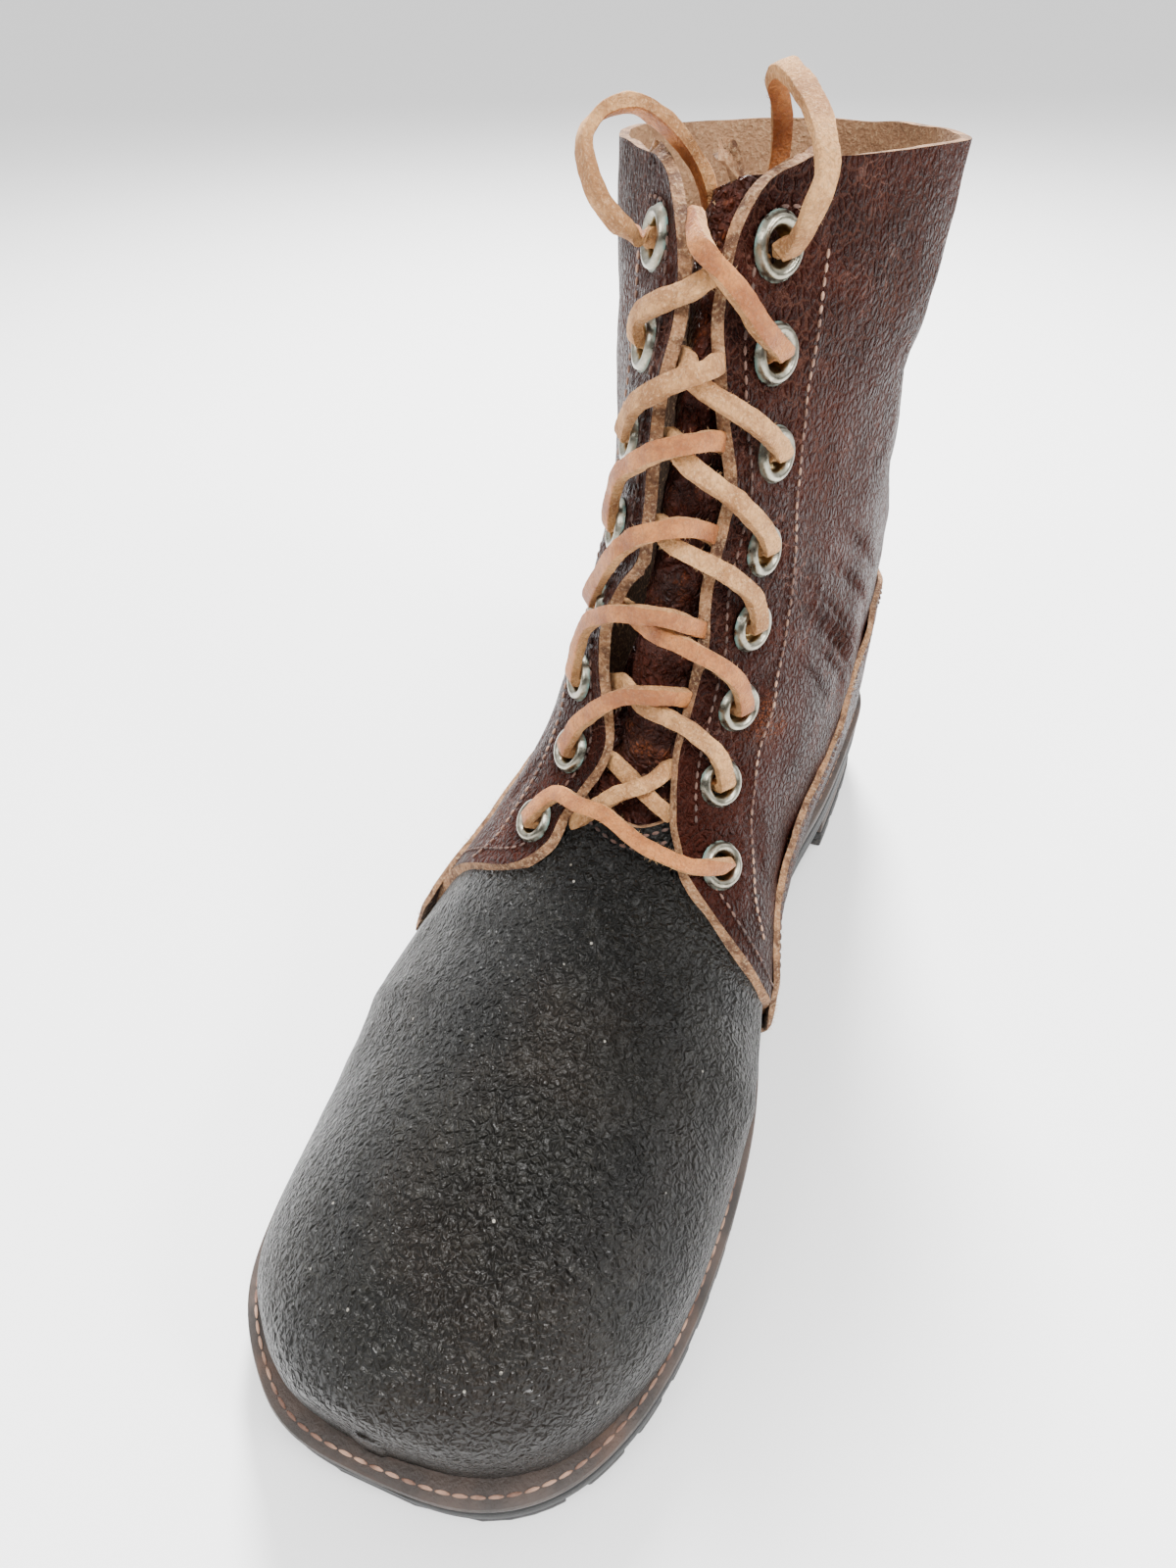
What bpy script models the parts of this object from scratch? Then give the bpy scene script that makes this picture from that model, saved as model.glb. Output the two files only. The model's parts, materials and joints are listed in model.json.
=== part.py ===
"""Right combat boot: derby upper on a stitched sole, eight pairs of eyelets, leather lace."""
import math

import bmesh
import bpy
import numpy as np
from mathutils import Matrix, Vector

# Collections of the boot's pieces and of the forms that cut them
BOOT = "combat_boot"
CUTTERS = "cutters"

# Driving sizes, in metres
LAST_LENGTH = 0.294
BALL_WIDTH = 0.114
INSTEP_HEIGHT = 0.099
SHAFT_HEIGHT = 0.217
HEEL_HEIGHT = 0.034
FOREPART_HEIGHT = 0.014
TOE_SPRING = 0.009
LEG_TURN = math.radians(5.0)
CLEARANCE = 0.0003

# Leather of the upper
VAMP_THICKNESS = 0.0024
QUARTER_THICKNESS = 0.0024
QUARTER_STEP = 0.002
COUNTER_THICKNESS = 0.002
TONGUE_THICKNESS = 0.0026
TONGUE_DEPTH = 0.0055
TONGUE_CLEARANCE = 0.0008

# Bottom of the boot
WELT_MARGIN = 0.0045
WELT_THICKNESS = 0.003
MIDSOLE_THICKNESS = 0.0032
MIDSOLE_MARGIN = 0.0040
INSOLE_ABOVE_WELT = 0.0022
OUTLINE_POINTS = 160
OUTLINE_TURNS = 140
OUTLINE_FIRST_TURN = 0.35
OUTLINE_LAST_TURN = 0.9999
OUTLINE_STATIONS = 150
OUTLINE_FIRST_STATION = 0.3
OUTLINE_LAST_STATION = 15.0
WELT_STEP = 3
WELT_SAMPLES = 1200
SOLE_ROWS = 30
HEEL_ROWS = 16
END_MARGIN = 0.00005
INSOLE_GAP = 0.0023
LUG_DEPTH = 0.003
LUG_GROOVE = 0.004
LUG_PITCH = 0.0125
HEEL_MARGIN = 0.0038
TOP_PIECE_THICKNESS = 0.0065
TOP_PIECE_GROOVES = (1.2, 2.5, 3.8)

# Eyelets and lace
FACING_HALF_GAP = 0.010
EYELET_HOLE_RADIUS = 0.0032
EYELET_FLANGE_RADIUS = 0.006
EYELET_ROLL = 0.0015
EYELET_WALL = 0.0007
EYELET_SEAT = 0.0005
LACE_WIDTH = 0.0048
LACE_THICKNESS = 0.0030
LOOP_RADIUS = 0.0022
LOOP_RISE = 0.0045
LOOP_POINTS = 20
LACE_LIFT = 0.0015
BAR_CLEARANCE = 0.0011
EDGE_CLEARANCE = 0.0026
EYELET_SIDES = 8
EYELET_CUT = 0.014
LACE_RISE = EYELET_SEAT + EYELET_ROLL + LACE_THICKNESS / 2 + BAR_CLEARANCE

# Course of the lace: stations that a strand runs on from its row and stops short of the next,
# its arch over the leather in lace thicknesses, the bar's sag, and where it faces in the gap
STRAND_LEAD = 0.15
STRAND_TAIL = 0.25
INSIDE_LEAD = 0.42
STRAND_ARCH = 0.4
BAR_SAG = 0.12
STRAND_FACE = Vector((0.0, -0.8, 0.6))
BAR_POINTS = 7

# Places along the last, in shares of its length
TOE_SPRING_START = -0.27
HEEL_RISE_START = -0.07
HEEL_RISE_END = 0.30
HEEL_BREAST = 0.27
LUG_FIRST = -0.445
LUG_LAST = 0.03
FLOOR_REACH = 0.6
FLOOR_POINTS = 25
THROAT_STATION = 8.55
GAP_STATION = 7.35
VAMP_END_STATION = 11.6
COUNTER_FORM_STATION = 17.0
STEP_STATION = 8.0
STEP_STATIONS = 2.5

# Cutter between the facings: how far it reaches in front of the ridge, behind it, and past the collar
GAP_FRONT = 0.03
GAP_BACK = 0.024
GAP_BACK_PER_POWER = 0.004
GAP_RISE = 0.03
SPACE_RISE = 0.02

# Sections of the last from toe to collar. A row is one section: a line in side view from the
# ridge to the sole side, with half widths to both sides of it. Lengths along the boot are
# shares of LAST_LENGTH, widths and radii shares of BALL_WIDTH. A ridge level of 0 to 1 is a
# share of INSTEP_HEIGHT, 1 to 2 runs up the shaft. A sole level is a share of the height
# from the heel seat to the collar, measured from the feather line.
SECTION_COLUMNS = (
    "ridge_y", "ridge_level", "ridge_x", "sole_y", "sole_level", "sole_x",
    "medial", "lateral", "narrow", "top_radius", "top_power", "edge_radius",
)
SECTIONS = {
    "toe_end":   (-0.480, 0.37, -0.140, -0.480, 0.060, -0.140, 0.035, 0.035, 0.00, 0.018, 2.00, 0.018),
    "toe_front": (-0.473, 0.45, -0.132, -0.473, -0.033, -0.140, 0.175, 0.167, 0.00, 0.132, 2.20, 0.088),
    "toe_round": (-0.449, 0.51, -0.114, -0.449, -0.044, -0.132, 0.298, 0.289, 0.00, 0.237, 2.30, 0.105),
    "toe_side":  (-0.408, 0.56, -0.088, -0.408, -0.046, -0.132, 0.386, 0.395, 0.00, 0.333, 2.30, 0.110),
    "toe_cap":   (-0.354, 0.60, -0.061, -0.354, -0.046, -0.123, 0.439, 0.456, 0.00, 0.404, 2.30, 0.114),
    "vamp":      (-0.286, 0.63, -0.035, -0.286, -0.046, -0.114, 0.465, 0.491, 0.00, 0.439, 2.20, 0.114),
    "ball":      (-0.204, 0.69, -0.018, -0.204, -0.046, -0.105, 0.474, 0.518, 0.00, 0.491, 2.10, 0.114),
    "joint":     (-0.136, 0.76, -0.009, -0.122, -0.046, -0.105, 0.465, 0.535, 0.00, 0.544, 2.00, 0.114),
    "throat":    (-0.075, 0.86, 0.000, -0.027, -0.044, -0.088, 0.430, 0.526, 0.03, 0.614, 1.90, 0.123),
    "instep":    (-0.031, 1.00, 0.000, 0.075, -0.044, -0.053, 0.386, 0.491, 0.08, 0.702, 1.80, 0.140),
    "arch":      (-0.010, 1.14, 0.000, 0.197, -0.065, 0.000, 0.360, 0.439, 0.14, 0.719, 1.60, 0.158),
    "bend":      (0.000, 1.27, 0.000, 0.333, -0.105, 0.061, 0.338, 0.404, 0.14, 0.754, 1.55, 0.193),
    "seat":      (0.007, 1.37, 0.000, 0.469, -0.114, 0.092, 0.329, 0.377, 0.12, 0.825, 1.50, 0.263),
    "heel_low":  (0.014, 1.44, 0.000, 0.524, -0.027, 0.094, 0.325, 0.368, 0.10, 0.860, 1.50, 0.281),
    "heel_mid":  (0.024, 1.52, 0.000, 0.531, 0.125, 0.088, 0.320, 0.360, 0.08, 0.868, 1.45, 0.298),
    "heel_top":  (0.034, 1.59, 0.000, 0.520, 0.299, 0.070, 0.316, 0.355, 0.05, 0.851, 1.40, 0.325),
    "ankle":     (0.048, 1.67, 0.000, 0.503, 0.480, 0.044, 0.312, 0.342, 0.02, 0.754, 1.35, 0.368),
    "shaft_low": (0.068, 1.77, 0.000, 0.493, 0.645, 0.018, 0.325, 0.333, 0.00, 0.649, 1.30, 0.404),
    "shaft_mid": (0.092, 1.88, 0.000, 0.493, 0.808, 0.009, 0.351, 0.338, 0.00, 0.596, 1.30, 0.439),
    "collar":    (0.112, 2.00, 0.000, 0.500, 0.967, 0.000, 0.368, 0.346, 0.00, 0.579, 1.30, 0.456),
}
LAST_STATION = len(SECTIONS) - 1

# Steps over which a normal of the last is measured
STATION_STEP = 0.03
TURN_STEP = 0.008

# Edge of the two facings: station along the last, then the distances from the middle to the
# medial and the lateral edge in shares of FACING_HALF_GAP
FACING_ROWS = (
    (7.3, 1.50, 2.00),
    (8.0, 1.25, 1.90),
    (8.7, 0.90, 1.55),
    (9.4, 0.72, 1.00),
    (10.2, 0.80, 1.25),
    (11.3, 0.97, 1.45),
    (12.2, 0.90, 1.10),
    (13.0, 0.90, 0.55),
    (15.0, 0.94, 0.58),
    (16.3, 0.62, 0.58),
    (17.3, 0.37, 0.38),
    (18.1, 0.37, 0.55),
    (18.55, 0.58, 0.85),
    (18.8, 0.85, 1.15),
    (19.0, 1.35, 1.75),
)

# Centres of the eyelets: station, then the distances of the medial and the lateral one from
# the middle in shares of FACING_HALF_GAP
EYELET_ROWS = (
    (8.40, 2.15, 2.70),
    (9.42, 1.72, 2.05),
    (10.62, 1.78, 2.15),
    (12.13, 1.74, 1.90),
    (13.81, 1.68, 1.50),
    (15.60, 1.58, 1.42),
    (16.94, 1.32, 1.32),
    (18.13, 1.10, 1.38),
)

# Front edge of the quarter, side view: share of LAST_LENGTH and share of INSTEP_HEIGHT
QUARTER_EDGE = (
    (-0.095, 1.20), (-0.078, 0.94), (-0.074, 0.85), (-0.086, 0.74),
    (-0.089, 0.60), (-0.080, 0.46), (-0.055, 0.32), (-0.030, 0.00),
)
# Upper edge of the heel counter, side view, same shares
COUNTER_EDGE = (
    (-0.058, 0.00), (-0.052, 0.30), (-0.040, 0.42), (0.000, 0.53), (0.055, 0.60),
    (0.140, 0.67), (0.235, 0.73), (0.330, 0.80), (0.440, 0.86), (0.600, 0.89),
)

TONGUE_START_STATION = 7.6
TONGUE_END_STATION = 18.75
TONGUE_HALF_WIDTH = 0.021
TONGUE_SHIFT = 0.010
TONGUE_ROWS = 18
TONGUE_COLUMNS = 7
TONGUE_SAMPLES = 25
TONGUE_SOFTENING = 12
SINK_STATIONS = 2.0
WIDEN_STATIONS = 2.0
WIDEN_BEFORE = 0.6
TIP_STATIONS = 0.7
TIP_AFTER = 0.25
TIP_NARROW = 0.3

# Colours as red, green, blue, roughness, metallic
FINISHES = {
    "brown_leather": (0.075, 0.030, 0.026, 0.50, 0.0),
    "black_leather": (0.040, 0.038, 0.036, 0.45, 0.0),
    "rubber": (0.018, 0.018, 0.018, 0.70, 0.0),
    "sole_leather": (0.050, 0.036, 0.028, 0.65, 0.0),
    "insole_leather": (0.300, 0.190, 0.110, 0.80, 0.0),
    "nickel": (0.520, 0.500, 0.430, 0.35, 1.0),
    "lace": (0.560, 0.310, 0.150, 0.80, 0.0),
}


def smooth(share):
    """Soft step from 0 to 1."""
    share = np.clip(share, 0.0, 1.0)
    return share * share * (3.0 - 2.0 * share)


def feather(y):
    """Height of the line where the upper meets the welt, at a place along the boot."""
    share = np.asarray(y, dtype=float) / LAST_LENGTH
    spring = np.clip((TOE_SPRING_START - share) / (0.5 + TOE_SPRING_START), 0.0, 1.3)
    rise = smooth((share - HEEL_RISE_START) / (HEEL_RISE_END - HEEL_RISE_START))
    return FOREPART_HEIGHT + TOE_SPRING * spring ** 1.6 + (HEEL_HEIGHT - FOREPART_HEIGHT) * rise


def level_height(level):
    """Height of a ridge level: 0 to 1 over the foot, 1 to 2 up the shaft."""
    foot = np.minimum(level, 1.0) * INSTEP_HEIGHT
    return foot + np.maximum(level - 1.0, 0.0) * (SHAFT_HEIGHT - INSTEP_HEIGHT)


def spline(rows, place):
    """Smooth curve through equally spaced rows, read at fractional row numbers."""
    place = np.clip(np.asarray(place, dtype=float), 0.0, len(rows) - 1 - 1e-9)
    index = place.astype(int)
    share = (place - index)[..., None]
    before = rows[np.maximum(index - 1, 0)]
    start = rows[index]
    end = rows[index + 1]
    after = rows[np.minimum(index + 2, len(rows) - 1)]
    linear = (end - before) * share
    square = (2 * before - 5 * start + 4 * end - after) * share ** 2
    cube = (-before + 3 * start - 3 * end + after) * share ** 3
    return 0.5 * (2 * start + linear + square + cube)


SECTION_ROWS = np.array(list(SECTIONS.values()), dtype=float)


def section(station):
    """Values of the section at a fractional row number, by column name."""
    values = spline(SECTION_ROWS, station)
    return {name: values[..., number] for number, name in enumerate(SECTION_COLUMNS)}


def rounded(share, power):
    """Width of a rounded end: 0 at the end and 1 from its radius on."""
    share = np.clip(share, 0.0, 1.0)
    return (1.0 - (1.0 - share) ** power) ** (1.0 / power)


def last_surface(station, turn):
    """Point on the last: turn 0 is the ridge, +1 or -1 the sole side, + is medial."""
    turn = (np.asarray(turn, dtype=float) + 1.0) % 2.0 - 1.0
    row = section(station)
    ridge_y = row["ridge_y"] * LAST_LENGTH
    ridge_z = level_height(row["ridge_level"])
    sole_y = row["sole_y"] * LAST_LENGTH
    sole_z = feather(sole_y) + row["sole_level"] * (SHAFT_HEIGHT - HEEL_HEIGHT)
    length = np.hypot(sole_y - ridge_y, sole_z - ridge_z)
    share = (1.0 - np.cos(np.pi * np.abs(turn))) / 2.0
    along = share * length
    top_radius = np.minimum(row["top_radius"] * BALL_WIDTH, 0.98 * length)
    edge_radius = np.minimum(row["edge_radius"] * BALL_WIDTH, length - 0.6 * top_radius)
    width = np.where(turn > 0, row["medial"], row["lateral"]) * BALL_WIDTH
    width = width * (1.0 - row["narrow"] * smooth(share))
    width = width * rounded(along / top_radius, row["top_power"])
    width = width * rounded((length - along) / edge_radius, 2.0)
    middle = row["ridge_x"] + (row["sole_x"] - row["ridge_x"]) * smooth(share)
    x = middle * BALL_WIDTH + np.sign(turn) * width
    y = ridge_y + (sole_y - ridge_y) * share
    z = ridge_z + (sole_z - ridge_z) * share
    return np.stack([x, y, z], axis=-1)


def normals(station, turn):
    """Outward unit normals of the last."""
    station = np.asarray(station, dtype=float)
    ahead = last_surface(np.minimum(station + STATION_STEP, LAST_STATION), turn)
    behind = last_surface(np.maximum(station - STATION_STEP, 0.0), turn)
    right = last_surface(station, turn + TURN_STEP)
    left = last_surface(station, turn - TURN_STEP)
    normal = np.cross(right - left, ahead - behind)
    return normal / np.maximum(np.linalg.norm(normal, axis=-1, keepdims=True), 1e-12)


def skin(station, turn, offset=0.0):
    """Point at a distance outside (+) or inside (-) the last's surface."""
    return last_surface(station, turn) + normals(station, turn) * np.asarray(offset)[..., None]


def turn_at(station, x):
    """Turn of the surface point that lies at a sideways place near the ridge."""
    side = 1.0 if x > 0 else -1.0
    turns = np.linspace(0.0, 0.6, 241) * side
    points = last_surface(np.full(len(turns), float(station)), turns)
    reached = np.maximum.accumulate(np.abs(points[:, 0]))
    return float(np.interp(abs(x), reached, np.abs(turns))) * side


def turn_after(station, distance):
    """Turn of the surface point at a distance from the ridge, measured round the last."""
    turns = np.linspace(0.0, 0.9, 241) * math.copysign(1.0, distance)
    points = last_surface(np.full(len(turns), float(station)), turns)
    steps = np.linalg.norm(np.diff(points, axis=0), axis=1)
    travelled = np.concatenate([[0.0], np.cumsum(steps)])
    return float(np.interp(abs(distance), travelled, turns))


def facing_gap(station):
    """Sideways places of the medial and the lateral facing edge at a station."""
    rows = np.array(FACING_ROWS)
    place = np.interp(station, rows[:, 0], np.arange(len(rows)))
    values = spline(rows, place) * FACING_HALF_GAP
    return float(values[1]), -float(values[2])


def inner_offset(station):
    """Inside face of the upper: below the vamp in front, below the quarter behind."""
    front = -QUARTER_STEP / 2 - VAMP_THICKNESS
    back = QUARTER_STEP / 2 - QUARTER_THICKNESS
    return front + (back - front) * smooth((np.asarray(station) - STEP_STATION) / STEP_STATIONS)


def new_object(name, bm, finish):
    """Object of flat triangles; without a finish it is a form that cuts or is cut."""
    bmesh.ops.recalc_face_normals(bm, faces=bm.faces)
    bmesh.ops.triangulate(bm, faces=bm.faces)
    mesh = bpy.data.meshes.new(name)
    bm.to_mesh(mesh)
    bm.free()
    obj = bpy.data.objects.new(name, mesh)
    if finish is None:
        bpy.data.collections[CUTTERS].objects.link(obj)
        obj.hide_render = True
        obj.display_type = "WIRE"
    else:
        bpy.data.collections[BOOT].objects.link(obj)
        mesh.materials.append(make_material(name, finish))
    return obj


def make_material(name, finish):
    """Plain material of a finish, named after its piece."""
    red, green, blue, roughness, metallic = FINISHES[finish]
    material = bpy.data.materials.new(name + "_" + finish)
    material.use_nodes = True
    shader = material.node_tree.nodes["Principled BSDF"]
    shader.inputs["Base Color"].default_value = (red, green, blue, 1.0)
    shader.inputs["Roughness"].default_value = roughness
    shader.inputs["Metallic"].default_value = metallic
    return material


def loft(rings, closed_ends=True, closed_path=False):
    """Mesh of quads between equal rings of points."""
    bm = bmesh.new()
    rows = [[bm.verts.new(point) for point in ring] for ring in rings]
    count = len(rows[0])
    pairs = list(zip(rows, rows[1:]))
    if closed_path:
        pairs.append((rows[-1], rows[0]))
    for first, second in pairs:
        for k in range(count):
            after = (k + 1) % count
            bm.faces.new((first[k], first[after], second[after], second[k]))
    if closed_ends and not closed_path:
        bm.faces.new(rows[0])
        bm.faces.new(rows[-1])
    return bm


def boolean(target, cutter, operation):
    """Apply one exact Boolean and remove the cutter."""
    modifier = target.modifiers.new(operation.lower(), "BOOLEAN")
    modifier.operation = operation
    modifier.solver = "EXACT"
    modifier.object = cutter
    bpy.context.view_layer.update()
    evaluated = target.evaluated_get(bpy.context.evaluated_depsgraph_get())
    mesh = bpy.data.meshes.new_from_object(evaluated)
    bm = bmesh.new()
    bm.from_mesh(mesh)
    bmesh.ops.triangulate(bm, faces=bm.faces)
    bm.to_mesh(mesh)
    bm.free()
    old = target.data
    target.modifiers.clear()
    target.data = mesh
    bpy.data.meshes.remove(old)
    bpy.data.objects.remove(cutter)


def side_prism(name, outline):
    """Cutter that fills a side view outline across the whole width."""
    half = BALL_WIDTH
    rings = [[(x, y, z) for y, z in outline] for x in (-half, half)]
    return new_object(name, loft(rings), None)


def curve_points(points, count):
    """Smooth side view curve through a few points, as lengths."""
    rows = np.array(points)
    dense = spline(rows, np.linspace(0.0, len(rows) - 1, count))
    return [(float(y) * LAST_LENGTH, float(z) * INSTEP_HEIGHT) for y, z in dense]


FORM_STATIONS = (
    0.0, 0.4, 0.8, 1.2, 1.7, 2.3, 3.0, 4.0, 5.0, 6.0, 7.0, 8.0, 8.8, 9.6, 10.4, 11.2,
    12.0, 12.9, 13.8, 14.8, 16.2, 17.6, 19.0,
)
FORM_SIDES = 28


def form(name, offset, last_station, lift=0.0):
    """Closed solid of the last's skin at an offset, up to a station."""
    stations = [s for s in FORM_STATIONS if s < last_station - 0.2] + [last_station]
    turns = -1.0 + 2.0 * np.arange(FORM_SIDES) / FORM_SIDES
    rings = []
    for station in stations:
        distance = offset(station) if callable(offset) else offset
        rings.append(skin(np.full(FORM_SIDES, station), turns, np.full(FORM_SIDES, distance)))
    if lift:
        rings.append(rings[-1] + np.array([0.0, 0.0, lift]))
    return new_object(name, loft(rings), None)


def gap_cutter(name, first_station, spare):
    """Cutter between the facings, from a station up past the collar."""
    stations = [first_station] + [row[0] for row in FACING_ROWS if row[0] > first_station + 0.1]
    rings = []
    for station in stations:
        medial, lateral = facing_gap(station)
        row = section(station)
        ridge = last_surface(station, 0.0)
        sole = last_surface(station, 1.0)
        inward = sole - ridge
        inward[0] = 0.0
        inward = inward / np.linalg.norm(inward)
        depth = GAP_BACK + GAP_BACK_PER_POWER * float(row["top_power"])
        front = ridge - inward * GAP_FRONT
        back = ridge + inward * depth
        ring = []
        for x, base in ((medial, front), (lateral, front), (lateral, back), (medial, back)):
            ring.append((x + math.copysign(spare, x), base[1], base[2]))
        rings.append(ring)
    top = [(x, y, z + GAP_RISE) for x, y, z in rings[-1]]
    return new_object(name, loft(rings + [top]), None)


def make_upper():
    """Vamp and quarters as one hollow solid, open at collar, throat and underneath."""
    half_step = QUARTER_STEP / 2
    quarter = form("quarter_form", half_step, LAST_STATION)
    edge = curve_points(QUARTER_EDGE, 12)
    low = (edge[-1][0], -LAST_LENGTH)
    high = (edge[0][0], LAST_LENGTH)
    outline = edge + [low, (LAST_LENGTH, -LAST_LENGTH), (LAST_LENGTH, LAST_LENGTH), high]
    boolean(quarter, side_prism("quarter_region", outline), "INTERSECT")
    boolean(quarter, gap_cutter("facing_gap", GAP_STATION, 0.0), "DIFFERENCE")
    upper = form("vamp_form", -half_step, VAMP_END_STATION)
    boolean(upper, gap_cutter("throat", THROAT_STATION, CLEARANCE), "DIFFERENCE")
    boolean(upper, quarter, "UNION")
    boolean(upper, form("foot_space", inner_offset, LAST_STATION, SPACE_RISE), "DIFFERENCE")
    boolean(upper, floor_cutter("below_welt"), "DIFFERENCE")
    for row in EYELET_ROWS:
        for side in (1, 2):
            boolean(upper, eyelet_hole(row, side), "DIFFERENCE")
    publish(upper, "upper", "brown_leather")


def floor_cutter(name):
    """Everything below the welt line, raised by a clearance."""
    places = np.linspace(-FLOOR_REACH, FLOOR_REACH, FLOOR_POINTS) * LAST_LENGTH
    outline = [(float(y), float(feather(y)) + CLEARANCE) for y in places]
    outline += [(places[-1], -LAST_LENGTH), (places[0], -LAST_LENGTH)]
    return side_prism(name, outline)


def frame_at(station, x):
    """Place on the quarter's face with its normal, at a sideways place near the ridge."""
    turn = turn_at(station, x)
    place = skin(float(station), turn, QUARTER_STEP / 2)
    return Vector(place), Vector(normals(float(station), turn))


def eyelet_frame(row, side):
    """Matrix whose Z axis leaves the leather at an eyelet; side 1 is medial, 2 lateral."""
    x = row[side] * FACING_HALF_GAP * (1.0 if side == 1 else -1.0)
    place, normal = frame_at(row[0], x)
    rotation = normal.to_track_quat("Z", "Y").to_matrix().to_4x4()
    return Matrix.Translation(place) @ rotation


def eyelet_hole(row, side):
    """Cutter for the hole of one eyelet's barrel."""
    bm = bmesh.new()
    radius = (EYELET_HOLE_RADIUS + EYELET_WALL + CLEARANCE) / math.cos(math.pi / EYELET_SIDES)
    bmesh.ops.create_cone(
        bm, cap_ends=True, segments=EYELET_SIDES, radius1=radius, radius2=radius, depth=EYELET_CUT,
        matrix=eyelet_frame(row, side),
    )
    return new_object("eyelet_hole", bm, None)


def make_eyelet(name, row, side):
    """Rolled metal ring with a short barrel through the leather."""
    barrel = EYELET_HOLE_RADIUS + EYELET_WALL
    middle = (EYELET_HOLE_RADIUS + EYELET_FLANGE_RADIUS) / 2
    profile = (
        (EYELET_HOLE_RADIUS, -QUARTER_THICKNESS),
        (EYELET_HOLE_RADIUS, EYELET_SEAT + EYELET_ROLL * 0.6),
        (middle, EYELET_SEAT + EYELET_ROLL),
        (EYELET_FLANGE_RADIUS, EYELET_SEAT + EYELET_ROLL * 0.2),
        (barrel, EYELET_SEAT),
        (barrel, -QUARTER_THICKNESS),
    )
    bm = bmesh.new()
    verts = [bm.verts.new((radius, 0.0, height)) for radius, height in profile]
    edges = [bm.edges.new((verts[k], verts[(k + 1) % len(verts)])) for k in range(len(verts))]
    bmesh.ops.spin(
        bm, geom=verts + edges, cent=(0, 0, 0), axis=(0, 0, 1), angle=math.tau, steps=EYELET_SIDES,
        use_merge=True,
    )
    bmesh.ops.remove_doubles(bm, verts=bm.verts, dist=1e-6)
    bmesh.ops.transform(bm, matrix=eyelet_frame(row, side), verts=bm.verts)
    return new_object(name, bm, "nickel")


def make_counter():
    """Heel counter laid over the quarters, cut between two larger forms."""
    low = QUARTER_STEP / 2 + CLEARANCE
    counter = form("counter_outside", low + COUNTER_THICKNESS, COUNTER_FORM_STATION)
    boolean(counter, form("counter_inside", low, COUNTER_FORM_STATION + 0.5), "DIFFERENCE")
    edge = curve_points(COUNTER_EDGE, 14)
    outline = edge + [(edge[-1][0], -LAST_LENGTH), (edge[0][0], -LAST_LENGTH)]
    boolean(counter, side_prism("counter_region", outline), "INTERSECT")
    boolean(counter, floor_cutter("below_counter"), "DIFFERENCE")
    publish(counter, "heel_counter", "brown_leather")


def relaxed(points, rounds):
    """Row of points with its ends held and the bends between them softened."""
    for _ in range(rounds):
        points = points.copy()
        points[1:-1] = (points[:-2] + 2.0 * points[1:-1] + points[2:]) / 4.0
    return points


def evenly(points, count):
    """Points at equal steps along a row of points."""
    steps = np.linalg.norm(np.diff(points, axis=0), axis=1)
    travelled = np.concatenate([[0.0], np.cumsum(steps)])
    wanted = np.linspace(0.0, travelled[-1], count)
    return np.stack([np.interp(wanted, travelled, points[:, k]) for k in range(3)], axis=1)


def make_tongue():
    """Tongue behind the facings, sewn on under the throat of the vamp."""
    rows = []
    for station in np.linspace(TONGUE_START_STATION, TONGUE_END_STATION, TONGUE_ROWS):
        sink = float(smooth((station - THROAT_STATION) / SINK_STATIONS))
        near = float(inner_offset(station)) - TONGUE_CLEARANCE
        outside = near + (-TONGUE_DEPTH - near) * sink
        widen = float(smooth((station - TONGUE_START_STATION + WIDEN_BEFORE) / WIDEN_STATIONS))
        tip = float(smooth((TONGUE_END_STATION + TIP_AFTER - station) / TIP_STATIONS))
        half = TONGUE_HALF_WIDTH * widen * (1.0 - TIP_NARROW * (1.0 - tip))
        middle = TONGUE_SHIFT * sink
        distances = np.linspace(middle - half, middle + half, TONGUE_SAMPLES)
        turns = np.array([turn_after(station, distance) for distance in distances])
        face = skin(np.full(len(turns), station), turns, np.full(len(turns), outside))
        rows.append(evenly(relaxed(face, TONGUE_SOFTENING), TONGUE_COLUMNS))
    outer = np.array(rows)
    inward = np.cross(np.gradient(outer, axis=0), np.gradient(outer, axis=1))
    inward = inward / np.linalg.norm(inward, axis=2, keepdims=True)
    inner = outer + inward * TONGUE_THICKNESS
    rings = [list(front) + list(back[::-1]) for front, back in zip(outer, inner)]
    return new_object("tongue", loft(rings), "brown_leather")


def plan_outline(offset, spread):
    """Outline of the skin at the feather line, in plan, spread sideways."""
    medial = []
    lateral = []
    shares = np.linspace(OUTLINE_FIRST_TURN, OUTLINE_LAST_TURN, OUTLINE_TURNS)
    for station in np.linspace(OUTLINE_FIRST_STATION, OUTLINE_LAST_STATION, OUTLINE_STATIONS):
        distance = offset(station) if callable(offset) else offset
        for side, found in ((1.0, medial), (-1.0, lateral)):
            turns = shares * side
            points = skin(np.full(len(turns), station), turns, np.full(len(turns), distance))
            over = points[:, 2] - feather(points[:, 1])
            below = np.nonzero((over[:-1] > 0) & (over[1:] <= 0))[0]
            if len(below):
                k = below[-1]
                part = over[k] / (over[k] - over[k + 1])
                found.append(points[k, :2] + (points[k + 1, :2] - points[k, :2]) * part)
    outline = resample(np.array(medial + lateral[::-1]), OUTLINE_POINTS)
    ahead = np.roll(outline, -1, axis=0) - np.roll(outline, 1, axis=0)
    ahead = ahead / np.linalg.norm(ahead, axis=1, keepdims=True)
    outward = np.stack([ahead[:, 1], -ahead[:, 0]], axis=1)
    return resample(outline + outward * spread, OUTLINE_POINTS)


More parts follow.
